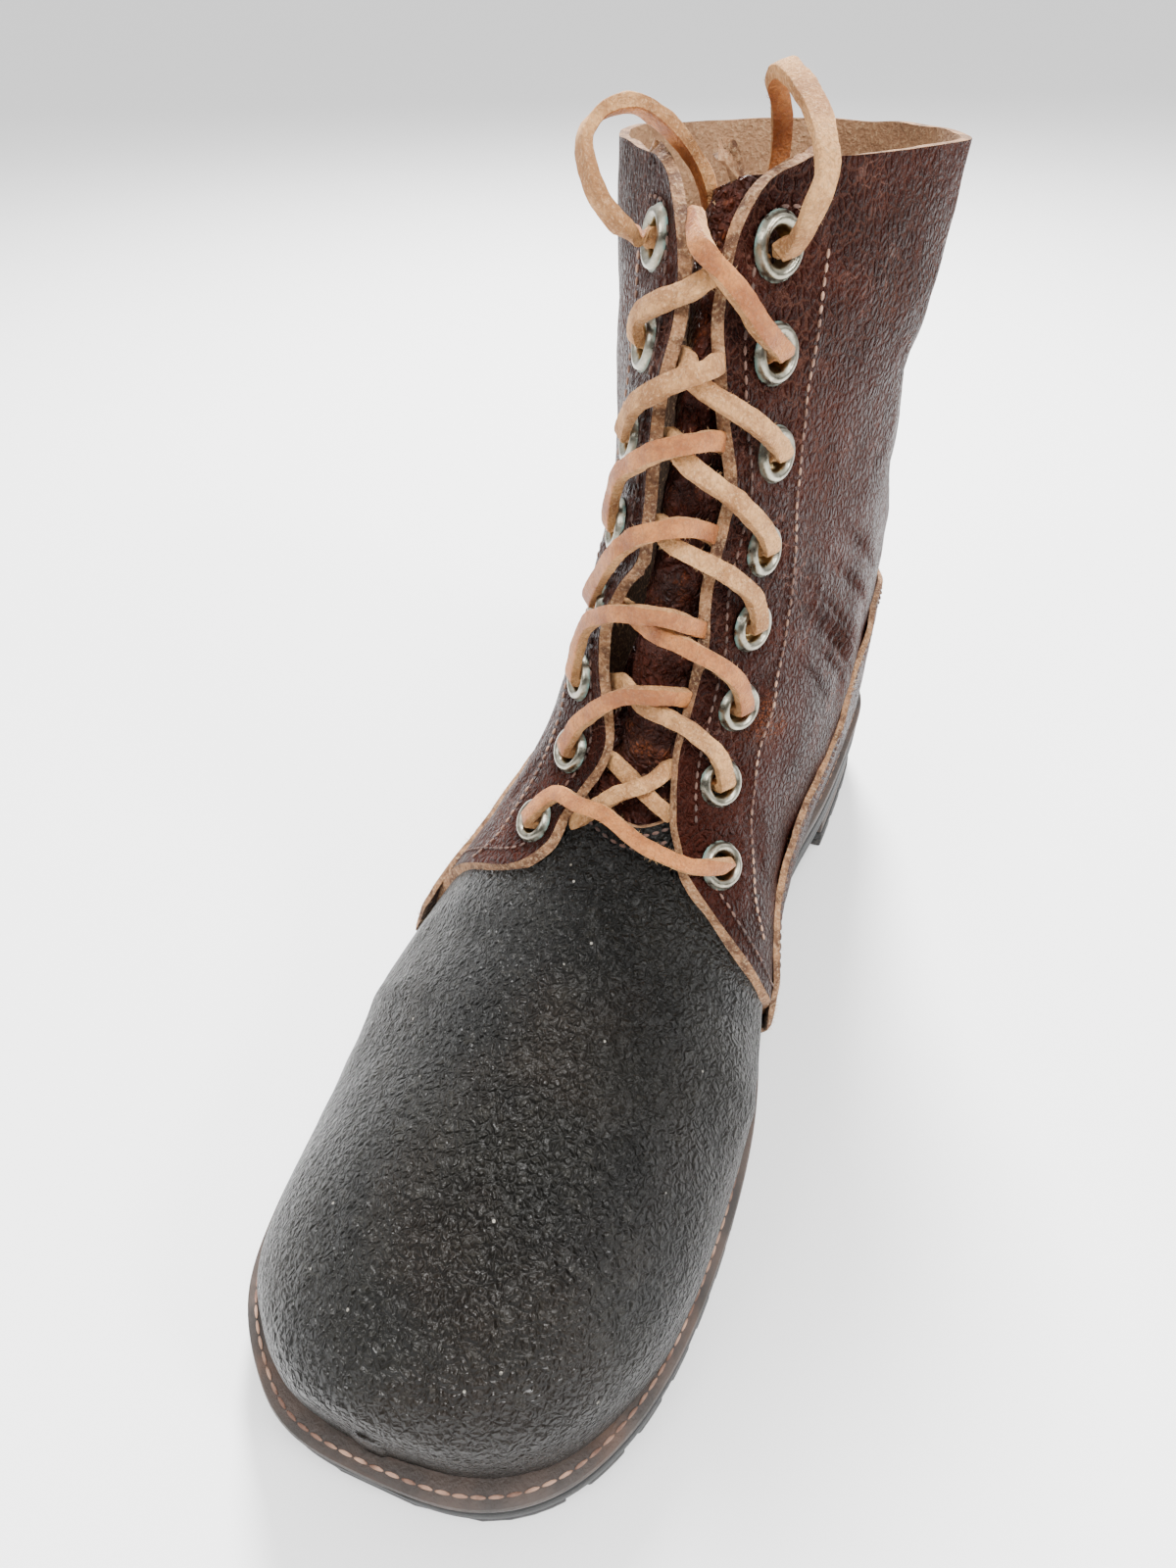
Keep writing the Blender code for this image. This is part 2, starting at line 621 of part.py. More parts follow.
def resample(points, count):
    """Closed outline at equal steps."""
    closed = np.vstack([points, points[:1]])
    steps = np.linalg.norm(np.diff(closed, axis=0), axis=1)
    travelled = np.concatenate([[0.0], np.cumsum(steps)])
    wanted = np.linspace(0.0, travelled[-1], count, endpoint=False)
    columns = [np.interp(wanted, travelled, closed[:, k]) for k in (0, 1)]
    return np.stack(columns, axis=1)


def edges_at(outline, places):
    """Sideways places of the medial and lateral edges of an outline along the boot."""
    toe = int(np.argmin(outline[:, 1]))
    turned = np.roll(outline, -toe, axis=0)
    heel = int(np.argmax(turned[:, 1]))
    one = turned[: heel + 1]
    other = np.vstack([turned[heel:], turned[:1]])[::-1]
    first = np.interp(places, one[:, 1], one[:, 0])
    second = np.interp(places, other[:, 1], other[:, 0])
    return np.maximum(first, second), np.minimum(first, second)


def slab(name, finish, outline, top, bottom, start=None):
    """Layer of the sole: an outline between two heights that change along the boot.

    Its rows lie closer together at the round ends, and a start gives it a straight front.
    """
    high = outline[:, 1].max() - END_MARGIN
    if start is None:
        low = outline[:, 1].min() + END_MARGIN
        shares = (1.0 - np.cos(np.linspace(0.0, math.pi, SOLE_ROWS))) / 2
    else:
        low = start
        shares = np.sin(np.linspace(0.0, math.pi / 2, HEEL_ROWS))
    places = low + (high - low) * shares
    medial, lateral = edges_at(outline, places)
    rings = []
    for y, right, left in zip(places, medial, lateral):
        over = float(top(y))
        under = float(bottom(y))
        rings.append([(right, y, over), (left, y, over), (left, y, under), (right, y, under)])
    return new_object(name, loft(rings), finish)


def cut_groove(target, y, floor):
    """Groove across the tread at a place along the boot, up from the tread's floor."""
    bm = bmesh.new()
    bmesh.ops.create_cube(bm, size=1.0)
    bmesh.ops.scale(bm, vec=(BALL_WIDTH * 2, LUG_GROOVE, 2 * LUG_DEPTH), verts=bm.verts)
    bmesh.ops.translate(bm, vec=(0.0, y, floor), verts=bm.verts)
    boolean(target, new_object("groove", bm, None), "DIFFERENCE")


def make_sole():
    """Welt, insole, midsole, outsole with lugs, heel block and top piece."""
    inside = plan_outline(inner_offset, 0.0)
    tread_outline = plan_outline(0.0, WELT_MARGIN)
    outside = aligned(inside, tread_outline)
    toe = int(np.argmin(inside[:, 1]))
    welt_rings = []
    for number in range(0, OUTLINE_POINTS, WELT_STEP):
        near = inside[(toe + number) % OUTLINE_POINTS]
        far = outside[(toe + number) % OUTLINE_POINTS]
        near_top = float(feather(near[1]))
        far_top = float(feather(far[1]))
        welt_rings.append([
            (near[0], near[1], near_top), (far[0], far[1], far_top),
            (far[0], far[1], far_top - WELT_THICKNESS), (near[0], near[1], near_top - WELT_THICKNESS),
        ])
    new_object("welt", loft(welt_rings, closed_path=True), "sole_leather")

    midsole_top = WELT_THICKNESS + CLEARANCE
    midsole_bottom = midsole_top + MIDSOLE_THICKNESS
    outsole_top = midsole_bottom + CLEARANCE
    slab(
        "insole", "insole_leather", plan_outline(inner_offset, -INSOLE_GAP),
        lambda y: feather(y) + INSOLE_ABOVE_WELT, lambda y: feather(y) - WELT_THICKNESS,
    )
    slab(
        "midsole", "sole_leather", plan_outline(0.0, MIDSOLE_MARGIN),
        lambda y: feather(y) - midsole_top, lambda y: feather(y) - midsole_bottom,
    )
    outsole = slab(
        "outsole", "rubber", tread_outline,
        lambda y: feather(y) - outsole_top, lambda y: feather(y) - FOREPART_HEIGHT,
    )
    for share in np.arange(LUG_FIRST, LUG_LAST, LUG_PITCH / LAST_LENGTH):
        y = share * LAST_LENGTH
        cut_groove(outsole, y, float(feather(y)) - FOREPART_HEIGHT)

    breast = HEEL_BREAST * LAST_LENGTH
    slab(
        "heel_block", "rubber", plan_outline(0.0, HEEL_MARGIN),
        lambda y: feather(y) - FOREPART_HEIGHT - CLEARANCE,
        lambda y: TOP_PIECE_THICKNESS + CLEARANCE, breast,
    )
    top_piece = slab(
        "heel_top_piece", "rubber", tread_outline,
        lambda y: TOP_PIECE_THICKNESS, lambda y: 0.0, breast,
    )
    for pitches in TOP_PIECE_GROOVES:
        cut_groove(top_piece, breast + LUG_PITCH * pitches, 0.0)


def aligned(inner, outer):
    """For each point of the inner outline, the nearest point of the outer one."""
    dense = resample(outer, WELT_SAMPLES)
    gaps = np.linalg.norm(inner[:, None, :] - dense[None, :, :], axis=2)
    return dense[np.argmin(gaps, axis=1)]


def strand(path, name):
    """Flat lace along a path of (point, face normal) pairs."""
    points = [Vector(point) for point, _ in path]
    rings = []
    for k, (_, normal) in enumerate(path):
        ahead = points[min(k + 1, len(points) - 1)] - points[max(k - 1, 0)]
        ahead.normalize()
        face = Vector(normal)
        face = (face - ahead * face.dot(ahead)).normalized()
        across = ahead.cross(face) * LACE_WIDTH / 2
        up = face * LACE_THICKNESS / 2
        middle = points[k]
        corners = (across + up, up - across, -across - up, across - up)
        rings.append([middle + corner for corner in corners])
    return new_object(name, loft(rings), None)


def in_gap(station, side, clearance):
    """Place beside a facing's edge, in the gap and level with the quarter's face."""
    edge = facing_gap(station)[side - 1]
    place, _ = frame_at(station, edge - math.copysign(LACE_WIDTH / 2 + clearance, edge))
    return place


def lace_ends(row_from, side_from):
    """Places of a strand over its eyelet and over its facing's edge, with their normals."""
    frame = eyelet_frame(row_from, side_from)
    start_normal = (frame.to_3x3() @ Vector((0, 0, 1))).normalized()
    start = frame.translation + start_normal * LACE_RISE
    station = row_from[0] + STRAND_LEAD
    edge, edge_normal = frame_at(station, facing_gap(station)[side_from - 1])
    over_edge = edge + edge_normal * (LACE_THICKNESS / 2 + EDGE_CLEARANCE)
    halfway = (start + over_edge) / 2 + edge_normal * LACE_THICKNESS * STRAND_ARCH
    return [
        (start, start_normal), (halfway, edge_normal),
        (over_edge, (edge_normal + STRAND_FACE).normalized()),
    ]


def make_crossing(name, low, high, over, inside):
    """Two strands that cross over the tongue, joined where they meet.

    A crossing from the inside starts beside the facings, any other one over its eyelets.
    """
    starts = []
    ends = []
    for side in (over, 3 - over):
        if inside:
            starts.append([(in_gap(low[0] + INSIDE_LEAD, side, 0.0), STRAND_FACE)])
        else:
            starts.append(lace_ends(low, side))
        ends.append((in_gap(high[0] - STRAND_TAIL, 3 - side, EDGE_CLEARANCE), STRAND_FACE))
    corners = [starts[0][-1][0], starts[1][-1][0], ends[0][0], ends[1][0]]
    centre = sum(corners, Vector()) / len(corners) + STRAND_FACE * LACE_LIFT
    half = LACE_THICKNESS / 2 - CLEARANCE
    strands = []
    for start, end, shift in zip(starts, ends, (half, -half)):
        middle = (centre + STRAND_FACE * shift, STRAND_FACE)
        strands.append(strand(start + [middle, end], "strand"))
    boolean(strands[0], strands[1], "UNION")
    publish(strands[0], name, "lace")


def publish(obj, name, finish):
    """Move a finished helper object into the boot's collection."""
    obj.name = name
    obj.data.name = name
    bpy.data.collections[CUTTERS].objects.unlink(obj)
    bpy.data.collections[BOOT].objects.link(obj)
    obj.hide_render = False
    obj.display_type = "TEXTURED"
    obj.data.materials.clear()
    obj.data.materials.append(make_material(name, finish))


def make_laces():
    """One straight bar below and seven crossings."""
    first = EYELET_ROWS[0]
    route = []
    for share in np.linspace(0.0, 1.0, BAR_POINTS):
        x = (first[1] - (first[1] + first[2]) * share) * FACING_HALF_GAP
        place, normal = frame_at(first[0] - BAR_SAG * math.sin(math.pi * share), x)
        route.append((place + normal * LACE_RISE, normal))
    publish(strand(route, "bar"), "lace_bar", "lace")
    for number, (low, high) in enumerate(zip(EYELET_ROWS, EYELET_ROWS[1:]), start=1):
        over = 1 if number == len(EYELET_ROWS) - 1 else 2
        make_crossing("lace_cross_%d" % number, low, high, over, number == 1)


# Routes of the two loose loops, in metres in the frame of the last, chosen by hand
LOOP_ROUTES = {
    "lace_loop_lateral": (
        (-0.0192, 0.0320, 0.2066), (-0.0230, 0.0310, 0.2110), (-0.0258, 0.0320, 0.2156),
        (-0.0274, 0.0350, 0.2204), (-0.0252, 0.0400, 0.2239), (-0.0201, 0.0450, 0.2244),
        (-0.0145, 0.0480, 0.2209), (-0.0091, 0.0500, 0.2149), (-0.0064, 0.0520, 0.2090),
        (-0.0065, 0.0540, 0.2020),
    ),
    "lace_loop_medial": (
        (0.0190, 0.0285, 0.2129), (0.0199, 0.0300, 0.2170), (0.0176, 0.0340, 0.2224),
        (0.0135, 0.0400, 0.2267), (0.0079, 0.0470, 0.2298), (0.0049, 0.0540, 0.2274),
        (0.0059, 0.0590, 0.2223), (0.0057, 0.0630, 0.2155), (0.0048, 0.0650, 0.2085),
        (0.0038, 0.0660, 0.2016),
    ),
}


def make_loops():
    """Round lace bent up and back out of the top eyelets."""
    for name, route in LOOP_ROUTES.items():
        side = 1 if name.endswith("medial") else 2
        frame = eyelet_frame(EYELET_ROWS[-1], side)
        start = [tuple(frame @ Vector((0.0, 0.0, rise))) for rise in (0.0, LOOP_RISE)]
        rows = np.array(start + list(route))
        dense = spline(rows, np.linspace(0.0, len(rows) - 1, LOOP_POINTS))
        curve = bpy.data.curves.new(name, "CURVE")
        curve.dimensions = "3D"
        curve.bevel_depth = LOOP_RADIUS
        curve.bevel_resolution = 1
        curve.use_fill_caps = True
        line = curve.splines.new("POLY")
        line.points.add(len(dense) - 1)
        for point, place in zip(line.points, dense):
            point.co = (*place, 1.0)
        obj = bpy.data.objects.new(name, curve)
        curve.materials.append(make_material(name, "lace"))
        bpy.data.collections[BOOT].objects.link(obj)


def settle():
    """Turn the boot so that heel and toe lie along Y, and centre it on the origin."""
    bpy.context.view_layer.update()
    turn = Matrix.Rotation(LEG_TURN, 4, "Z")
    low = np.full(2, 1e9)
    high = np.full(2, -1e9)
    floor = 1e9
    pieces = bpy.data.collections[BOOT].objects
    for obj in pieces:
        if obj.type == "MESH":
            places = np.array([turn @ vertex.co for vertex in obj.data.vertices])
            low = np.minimum(low, places[:, :2].min(axis=0))
            high = np.maximum(high, places[:, :2].max(axis=0))
            floor = min(floor, places[:, 2].min())
    middle = (low + high) / 2
    matrix = Matrix.Translation((-middle[0], -middle[1], -floor)) @ turn
    for obj in pieces:
        obj.data.transform(matrix)


def main():
    for obj in list(bpy.data.objects):
        bpy.data.objects.remove(obj)
    for name in (BOOT, CUTTERS):
        bpy.context.scene.collection.children.link(bpy.data.collections.new(name))
    make_upper()
    make_counter()
    make_tongue()
    make_sole()
    for number, row in enumerate(EYELET_ROWS, start=1):
        make_eyelet("eyelet_medial_%d" % number, row, 1)
        make_eyelet("eyelet_lateral_%d" % number, row, 2)
    make_laces()
    make_loops()
    settle()


main()
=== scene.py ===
"""Looks of a worn right combat boot: leather panels, eyelets, lace, sole, stitches and stage."""
import functools
import json
import math

import bmesh
import bpy
import numpy as np
from mathutils import Matrix, Vector, noise
from mathutils.bvhtree import BVHTree

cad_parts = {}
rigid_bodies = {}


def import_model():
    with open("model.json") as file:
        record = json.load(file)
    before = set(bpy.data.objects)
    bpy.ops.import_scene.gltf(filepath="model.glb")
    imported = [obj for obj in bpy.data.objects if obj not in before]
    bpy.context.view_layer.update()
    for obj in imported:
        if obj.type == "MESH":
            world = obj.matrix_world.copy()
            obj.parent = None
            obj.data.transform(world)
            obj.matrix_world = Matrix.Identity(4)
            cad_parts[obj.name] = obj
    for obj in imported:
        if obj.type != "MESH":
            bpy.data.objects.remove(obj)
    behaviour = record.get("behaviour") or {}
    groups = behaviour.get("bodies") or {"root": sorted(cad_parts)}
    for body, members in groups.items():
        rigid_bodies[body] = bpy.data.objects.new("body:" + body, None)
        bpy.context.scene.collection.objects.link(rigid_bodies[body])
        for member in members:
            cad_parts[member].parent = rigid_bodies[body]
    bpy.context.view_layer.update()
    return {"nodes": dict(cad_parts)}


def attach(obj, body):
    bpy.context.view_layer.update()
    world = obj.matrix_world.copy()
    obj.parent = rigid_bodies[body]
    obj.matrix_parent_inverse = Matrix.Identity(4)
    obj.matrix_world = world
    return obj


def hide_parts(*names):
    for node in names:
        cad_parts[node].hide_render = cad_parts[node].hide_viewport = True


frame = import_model()

bl_info = {
    "name": "Combat boot",
    "version": (1, 0, 0),
    "blender": (4, 5, 0),
    "location": "3D View > Sidebar > Boot",
    "description": "Dresses a packed combat boot in worn leather, metal, rawhide and rubber",
    "category": "Object",
}

# Shape of the last, the same as in the solids

LAST_LENGTH = 0.294
BALL_WIDTH = 0.114
INSTEP_HEIGHT = 0.099
SHAFT_HEIGHT = 0.217
HEEL_HEIGHT = 0.034
FOREPART_HEIGHT = 0.014
TOE_SPRING = 0.009
TOE_SPRING_START = -0.27
HEEL_RISE_START = -0.07
HEEL_RISE_END = 0.30
HEEL_BREAST = 0.27
LEG_TURN = math.radians(5.0)
SETTLE_SHIFT = (0.01035135, -0.00690659, 0.0)

SECTION_COLUMNS = (
    "ridge_y", "ridge_level", "ridge_x", "sole_y", "sole_level", "sole_x",
    "medial", "lateral", "narrow", "top_radius", "top_power", "edge_radius",
)
SECTIONS = np.array((
    (-0.480, 0.37, -0.140, -0.480, 0.060, -0.140, 0.035, 0.035, 0.00, 0.018, 2.00, 0.018),
    (-0.473, 0.45, -0.132, -0.473, -0.033, -0.140, 0.175, 0.167, 0.00, 0.132, 2.20, 0.088),
    (-0.449, 0.51, -0.114, -0.449, -0.044, -0.132, 0.298, 0.289, 0.00, 0.237, 2.30, 0.105),
    (-0.408, 0.56, -0.088, -0.408, -0.046, -0.132, 0.386, 0.395, 0.00, 0.333, 2.30, 0.110),
    (-0.354, 0.60, -0.061, -0.354, -0.046, -0.123, 0.439, 0.456, 0.00, 0.404, 2.30, 0.114),
    (-0.286, 0.63, -0.035, -0.286, -0.046, -0.114, 0.465, 0.491, 0.00, 0.439, 2.20, 0.114),
    (-0.204, 0.69, -0.018, -0.204, -0.046, -0.105, 0.474, 0.518, 0.00, 0.491, 2.10, 0.114),
    (-0.136, 0.76, -0.009, -0.122, -0.046, -0.105, 0.465, 0.535, 0.00, 0.544, 2.00, 0.114),
    (-0.075, 0.86, 0.000, -0.027, -0.044, -0.088, 0.430, 0.526, 0.03, 0.614, 1.90, 0.123),
    (-0.031, 1.00, 0.000, 0.075, -0.044, -0.053, 0.386, 0.491, 0.08, 0.702, 1.80, 0.140),
    (-0.010, 1.14, 0.000, 0.197, -0.065, 0.000, 0.360, 0.439, 0.14, 0.719, 1.60, 0.158),
    (0.000, 1.27, 0.000, 0.333, -0.105, 0.061, 0.338, 0.404, 0.14, 0.754, 1.55, 0.193),
    (0.007, 1.37, 0.000, 0.469, -0.114, 0.092, 0.329, 0.377, 0.12, 0.825, 1.50, 0.263),
    (0.014, 1.44, 0.000, 0.524, -0.027, 0.094, 0.325, 0.368, 0.10, 0.860, 1.50, 0.281),
    (0.024, 1.52, 0.000, 0.531, 0.125, 0.088, 0.320, 0.360, 0.08, 0.868, 1.45, 0.298),
    (0.034, 1.59, 0.000, 0.520, 0.299, 0.070, 0.316, 0.355, 0.05, 0.851, 1.40, 0.325),
    (0.048, 1.67, 0.000, 0.503, 0.480, 0.044, 0.312, 0.342, 0.02, 0.754, 1.35, 0.368),
    (0.068, 1.77, 0.000, 0.493, 0.645, 0.018, 0.325, 0.333, 0.00, 0.649, 1.30, 0.404),
    (0.092, 1.88, 0.000, 0.493, 0.808, 0.009, 0.351, 0.338, 0.00, 0.596, 1.30, 0.439),
    (0.112, 2.00, 0.000, 0.500, 0.967, 0.000, 0.368, 0.346, 0.00, 0.579, 1.30, 0.456),
))
COLLAR = len(SECTIONS) - 1.0
OUTER_STEP = 0.001

# Edges of the panels as rows of station along the last and turn round it, medial and lateral

MEDIAL_FRONT = ((8.01, 0.796), (7.86, 0.609), (7.59, 0.451), (7.66, 0.276), (8.00, 0.150))
LATERAL_FRONT = ((8.05, 0.799), (8.08, 0.553), (8.11, 0.443), (7.79, 0.233), (8.02, 0.165))
MEDIAL_FACING = (
    (8.36, 0.118), (8.70, 0.101), (9.40, 0.096), (10.2, 0.118), (11.3, 0.134), (12.2, 0.128), (13.0, 0.130),
    (14.0, 0.148), (15.0, 0.164), (16.3, 0.133), (17.3, 0.094), (18.1, 0.090), (18.55, 0.119),
    (18.8, 0.153), (19.0, 0.215),
)
LATERAL_FACING = (
    (8.46, 0.150), (8.70, 0.135), (9.40, 0.105), (10.2, 0.145), (11.3, 0.164), (12.2, 0.136), (13.0, 0.081),
    (14.0, 0.089), (15.0, 0.108), (16.3, 0.121), (17.3, 0.095), (18.1, 0.120), (18.55, 0.160),
    (18.8, 0.196), (19.0, 0.268),
)
QUARTER_FOOT = (
    (8.03, 0.797), (9.00, 0.811), (10.0, 0.788), (11.0, 0.734), (12.0, 0.736), (12.6, 0.800), (13.0, 0.870),
    (13.18, 1.000),
)
QUARTER_BACK = ((13.18, 1.0), (14.0, 1.0), (16.0, 1.0), (19.0, 1.0))
QUARTER_TOP = ((19.0, 0.24), (19.0, 0.45), (19.0, 0.70), (19.0, 1.0))
COUNTER_TOP = (
    (7.80, 0.700), (7.95, 0.581), (8.13, 0.536), (8.54, 0.505), (9.01, 0.500), (9.57, 0.514), (10.31, 0.526),
    (11.16, 0.521), (12.05, 0.523), (13.06, 0.565), (13.92, 0.651), (14.75, 0.834), (15.02, 1.000),
)
COUNTER_FOOT = (
    (7.80, 0.790), (8.40, 0.801), (9.00, 0.811), (10.0, 0.788), (11.0, 0.734), (12.0, 0.736), (12.6, 0.800),
    (13.0, 0.870), (13.18, 1.000),
)

# How far the row of stitches beside the eyelets stands from them, in metres, on each side

STAY_AWAY = {1: 0.0125, -1: 0.0105}

# Eyelets from the toe up: station, medial turn, lateral turn

EYELETS = (
    (8.40, 0.2256, 0.2217), (9.42, 0.2122, 0.1997), (10.62, 0.2252, 0.2295), (12.13, 0.2146, 0.2134),
    (13.81, 0.2261, 0.1938), (15.60, 0.2496, 0.2188), (16.94, 0.2225, 0.2200), (18.13, 0.1854, 0.2242),
)

# Course of the lace outside the facings: station, turn and lift in millimetres over the leather

BAR_COURSE = (
    (8.69, -0.166, 4.6), (8.56, -0.110, 5.0), (8.47, -0.054, 5.0), (8.28, 0.000, 4.8), (8.16, 0.052, 4.8),
    (8.13, 0.110, 4.6), (8.16, 0.150, 4.3),
)
INNER_COURSES = (
    ((8.33, -0.148, -2.4), (8.52, -0.095, 0.2), (8.74, -0.050, 1.8),
     (9.02, 0.030, 1.0), (9.30, 0.100, -2.6)),
    ((8.64, 0.100, -2.4), (8.74, 0.050, -0.6), (8.86, -0.004, -1.6),
     (9.05, -0.060, -2.2), (9.21, -0.115, -3.6)),
)
LATERAL_COURSES = (
    ((9.85, -0.158, 5.0), (10.15, -0.105, 5.0), (10.31, -0.054, 4.2),
     (10.38, 0.030, 3.6), (10.36, 0.108, -0.6)),
    ((11.43, -0.178, 5.0), (11.68, -0.120, 5.0), (11.74, -0.070, 4.2),
     (11.76, 0.030, 3.6), (11.66, 0.124, -0.6)),
    ((13.00, -0.125, 5.0), (13.40, -0.080, 4.8), (13.63, -0.032, 4.2),
     (13.80, 0.040, 3.6), (13.81, 0.126, -0.6)),
    ((14.76, -0.156, 5.0), (15.08, -0.095, 4.8), (15.32, -0.034, 4.2),
     (15.54, 0.045, 3.6), (15.64, 0.140, -0.6)),
    ((16.03, -0.150, 5.0), (16.25, -0.085, 4.8), (16.43, -0.018, 4.2),
     (16.62, 0.045, 3.6), (16.78, 0.118, -0.6)),
    ((17.22, -0.190, 4.8), (17.40, -0.130, 4.6), (17.58, -0.060, 2.0),
     (17.78, 0.030, 0.6), (17.98, 0.118, -3.0)),
)
MEDIAL_COURSES = (
    ((9.76, 0.178, 4.8), (9.96, 0.120, 4.4), (10.02, 0.060, 1.8),
     (10.06, -0.032, 0.0), (10.41, -0.138, -3.4)),
    ((11.00, 0.184, 4.8), (11.18, 0.130, 4.4), (11.27, 0.060, 1.8),
     (11.36, -0.036, 0.0), (11.87, -0.158, -3.4)),
    ((12.78, 0.184, 4.8), (13.06, 0.140, 4.4), (13.24, 0.085, 2.2),
     (13.38, 0.020, 0.2), (13.82, -0.104, -3.4)),
    ((14.17, 0.194, 4.8), (14.60, 0.145, 4.4), (14.95, 0.085, 2.2),
     (15.24, 0.020, 0.2), (15.63, -0.120, -3.4)),
    ((15.86, 0.206, 4.8), (16.08, 0.155, 4.4), (16.32, 0.090, 2.2),
     (16.54, 0.020, 0.2), (16.83, -0.125, -3.4)),
    ((17.16, 0.168, 4.8), (17.46, 0.118, 4.8), (17.74, 0.066, 4.2),
     (18.10, -0.010, 3.4), (18.38, -0.118, -0.8)),
)

# Loose loops, in metres in the frame of the last, the same places as in the solids

LOOPS = {
    "lateral": (
        (-0.0192, 0.0320, 0.2066), (-0.0230, 0.0310, 0.2110), (-0.0258, 0.0320, 0.2156),
        (-0.0274, 0.0350, 0.2204), (-0.0252, 0.0400, 0.2239), (-0.0201, 0.0450, 0.2244),
        (-0.0145, 0.0480, 0.2209), (-0.0091, 0.0500, 0.2149), (-0.0064, 0.0520, 0.2090),
        (-0.0065, 0.0540, 0.2020),
    ),
    "medial": (
        (0.0190, 0.0285, 0.2129), (0.0199, 0.0300, 0.2170), (0.0176, 0.0340, 0.2224),
        (0.0135, 0.0400, 0.2267), (0.0079, 0.0470, 0.2298), (0.0049, 0.0540, 0.2274),
        (0.0059, 0.0590, 0.2223), (0.0057, 0.0630, 0.2155), (0.0048, 0.0650, 0.2085),
        (0.0038, 0.0660, 0.2016),
    ),
}

# Bare scuffs and rubbed patches of the brown leather: place where the boot stands, radius and strength

SCUFFS = (
    ((0.047, 0.022, 0.168), 0.010, 0.65), ((0.050, 0.026, 0.150), 0.008, 0.55),
    ((0.048, 0.020, 0.135), 0.009, 0.45), ((-0.052, 0.060, 0.085), 0.010, 0.4),
    ((0.020, 0.150, 0.060), 0.012, 0.45), ((-0.020, 0.150, 0.052), 0.010, 0.45),
)
RUBS = (
    ((0.050, 0.008, 0.112), 0.013, 0.95), ((0.048, -0.004, 0.096), 0.009, 0.80),
    ((-0.040, 0.016, 0.110), 0.008, 0.45),
)

# Soft troughs and ridges: side, from station and turn, to station and turn, width and height in mm

QUARTER_CREASES = (
    (1, 13.6, 0.30, 12.9, 0.52, 1.6, -0.9), (1, 13.0, 0.32, 12.4, 0.52, 1.8, -1.0),
    (1, 12.5, 0.34, 12.0, 0.50, 1.5, -0.8), (1, 14.2, 0.36, 13.6, 0.58, 1.8, -0.8),
    (1, 13.3, 0.30, 12.7, 0.50, 2.2, 0.8), (1, 12.0, 0.30, 11.6, 0.42, 1.4, -0.6),
    (1, 14.8, 0.40, 14.3, 0.60, 2.4, -0.7), (1, 11.4, 0.18, 11.3, 0.30, 1.6, -0.5),
    (-1, 13.1, 0.08, 12.9, 0.30, 2.4, -1.3), (-1, 13.5, 0.10, 13.4, 0.26, 2.6, 0.9),
    (-1, 12.7, 0.14, 12.2, 0.44, 2.2, -1.1), (-1, 12.1, 0.26, 11.7, 0.48, 2.0, -0.9),
    (-1, 13.8, 0.24, 13.2, 0.50, 2.2, -0.9), (-1, 11.3, 0.28, 10.9, 0.46, 1.8, -0.7),
    (-1, 14.6, 0.30, 14.1, 0.56, 2.6, -0.8), (1, 17.2, 0.45, 16.4, 0.80, 5.0, -1.0),
    (-1, 17.4, 0.42, 16.6, 0.75, 5.0, -1.0), (1, 15.9, 0.60, 15.2, 0.90, 4.0, -1.0),
    (-1, 15.8, 0.60, 15.2, 0.90, 4.0, -1.0), (1, 9.4, 0.30, 8.6, 0.40, 3.0, -0.6),
    (-1, 9.6, 0.28, 8.8, 0.38, 2.4, -0.7), (-1, 10.3, 0.30, 9.6, 0.42, 2.0, -0.6),
)
VAMP_CREASES = (
    (1, 6.9, 0.10, 7.2, 0.55, 5.0, -0.8), (-1, 6.8, 0.08, 7.3, 0.50, 6.0, -0.9),
    (1, 5.6, 0.05, 6.0, 0.50, 8.0, -0.8), (-1, 5.4, 0.05, 5.9, 0.50, 8.0, -0.8),
    (1, 6.3, 0.30, 6.6, 0.65, 4.0, 0.6), (-1, 6.2, 0.28, 6.6, 0.62, 4.0, 0.6),
)
COUNTER_CREASES = (
    (1, 9.0, 0.56, 9.2, 0.76, 2.0, -0.5), (1, 10.3, 0.56, 10.5, 0.74, 2.4, -0.5),
    (-1, 8.6, 0.56, 8.8, 0.76, 1.8, -0.6), (-1, 9.6, 0.55, 9.9, 0.76, 2.0, -0.6),
    (-1, 10.8, 0.56, 10.9, 0.70, 2.2, -0.5), (1, 12.0, 0.56, 12.4, 0.70, 2.4, -0.5),
    (-1, 12.4, 0.58, 12.6, 0.74, 2.4, -0.5),
)


def smooth(share):
    """Soft step from 0 to 1."""
    share = np.clip(share, 0.0, 1.0)
    return share * share * (3.0 - 2.0 * share)


def feather(y):
    """Height of the line where the upper meets the welt."""
    share = np.asarray(y, dtype=float) / LAST_LENGTH
    spring = np.clip((TOE_SPRING_START - share) / (0.5 + TOE_SPRING_START), 0.0, 1.3)
    rise = smooth((share - HEEL_RISE_START) / (HEEL_RISE_END - HEEL_RISE_START))
    return FOREPART_HEIGHT + TOE_SPRING * spring ** 1.6 + (HEEL_HEIGHT - FOREPART_HEIGHT) * rise


def spline(rows, place):
    """Smooth curve through equally spaced rows, read at fractional row numbers."""
    rows = np.asarray(rows, dtype=float)
    place = np.clip(np.asarray(place, dtype=float), 0.0, len(rows) - 1 - 1e-9)
    index = place.astype(int)
    share = (place - index)[..., None]
    before = rows[np.maximum(index - 1, 0)]
    start = rows[index]
    end = rows[index + 1]
    after = rows[np.minimum(index + 2, len(rows) - 1)]
    linear = (end - before) * share
    square = (2 * before - 5 * start + 4 * end - after) * share ** 2
    cube = (-before + 3 * start - 3 * end + after) * share ** 3
    return 0.5 * (2 * start + linear + square + cube)


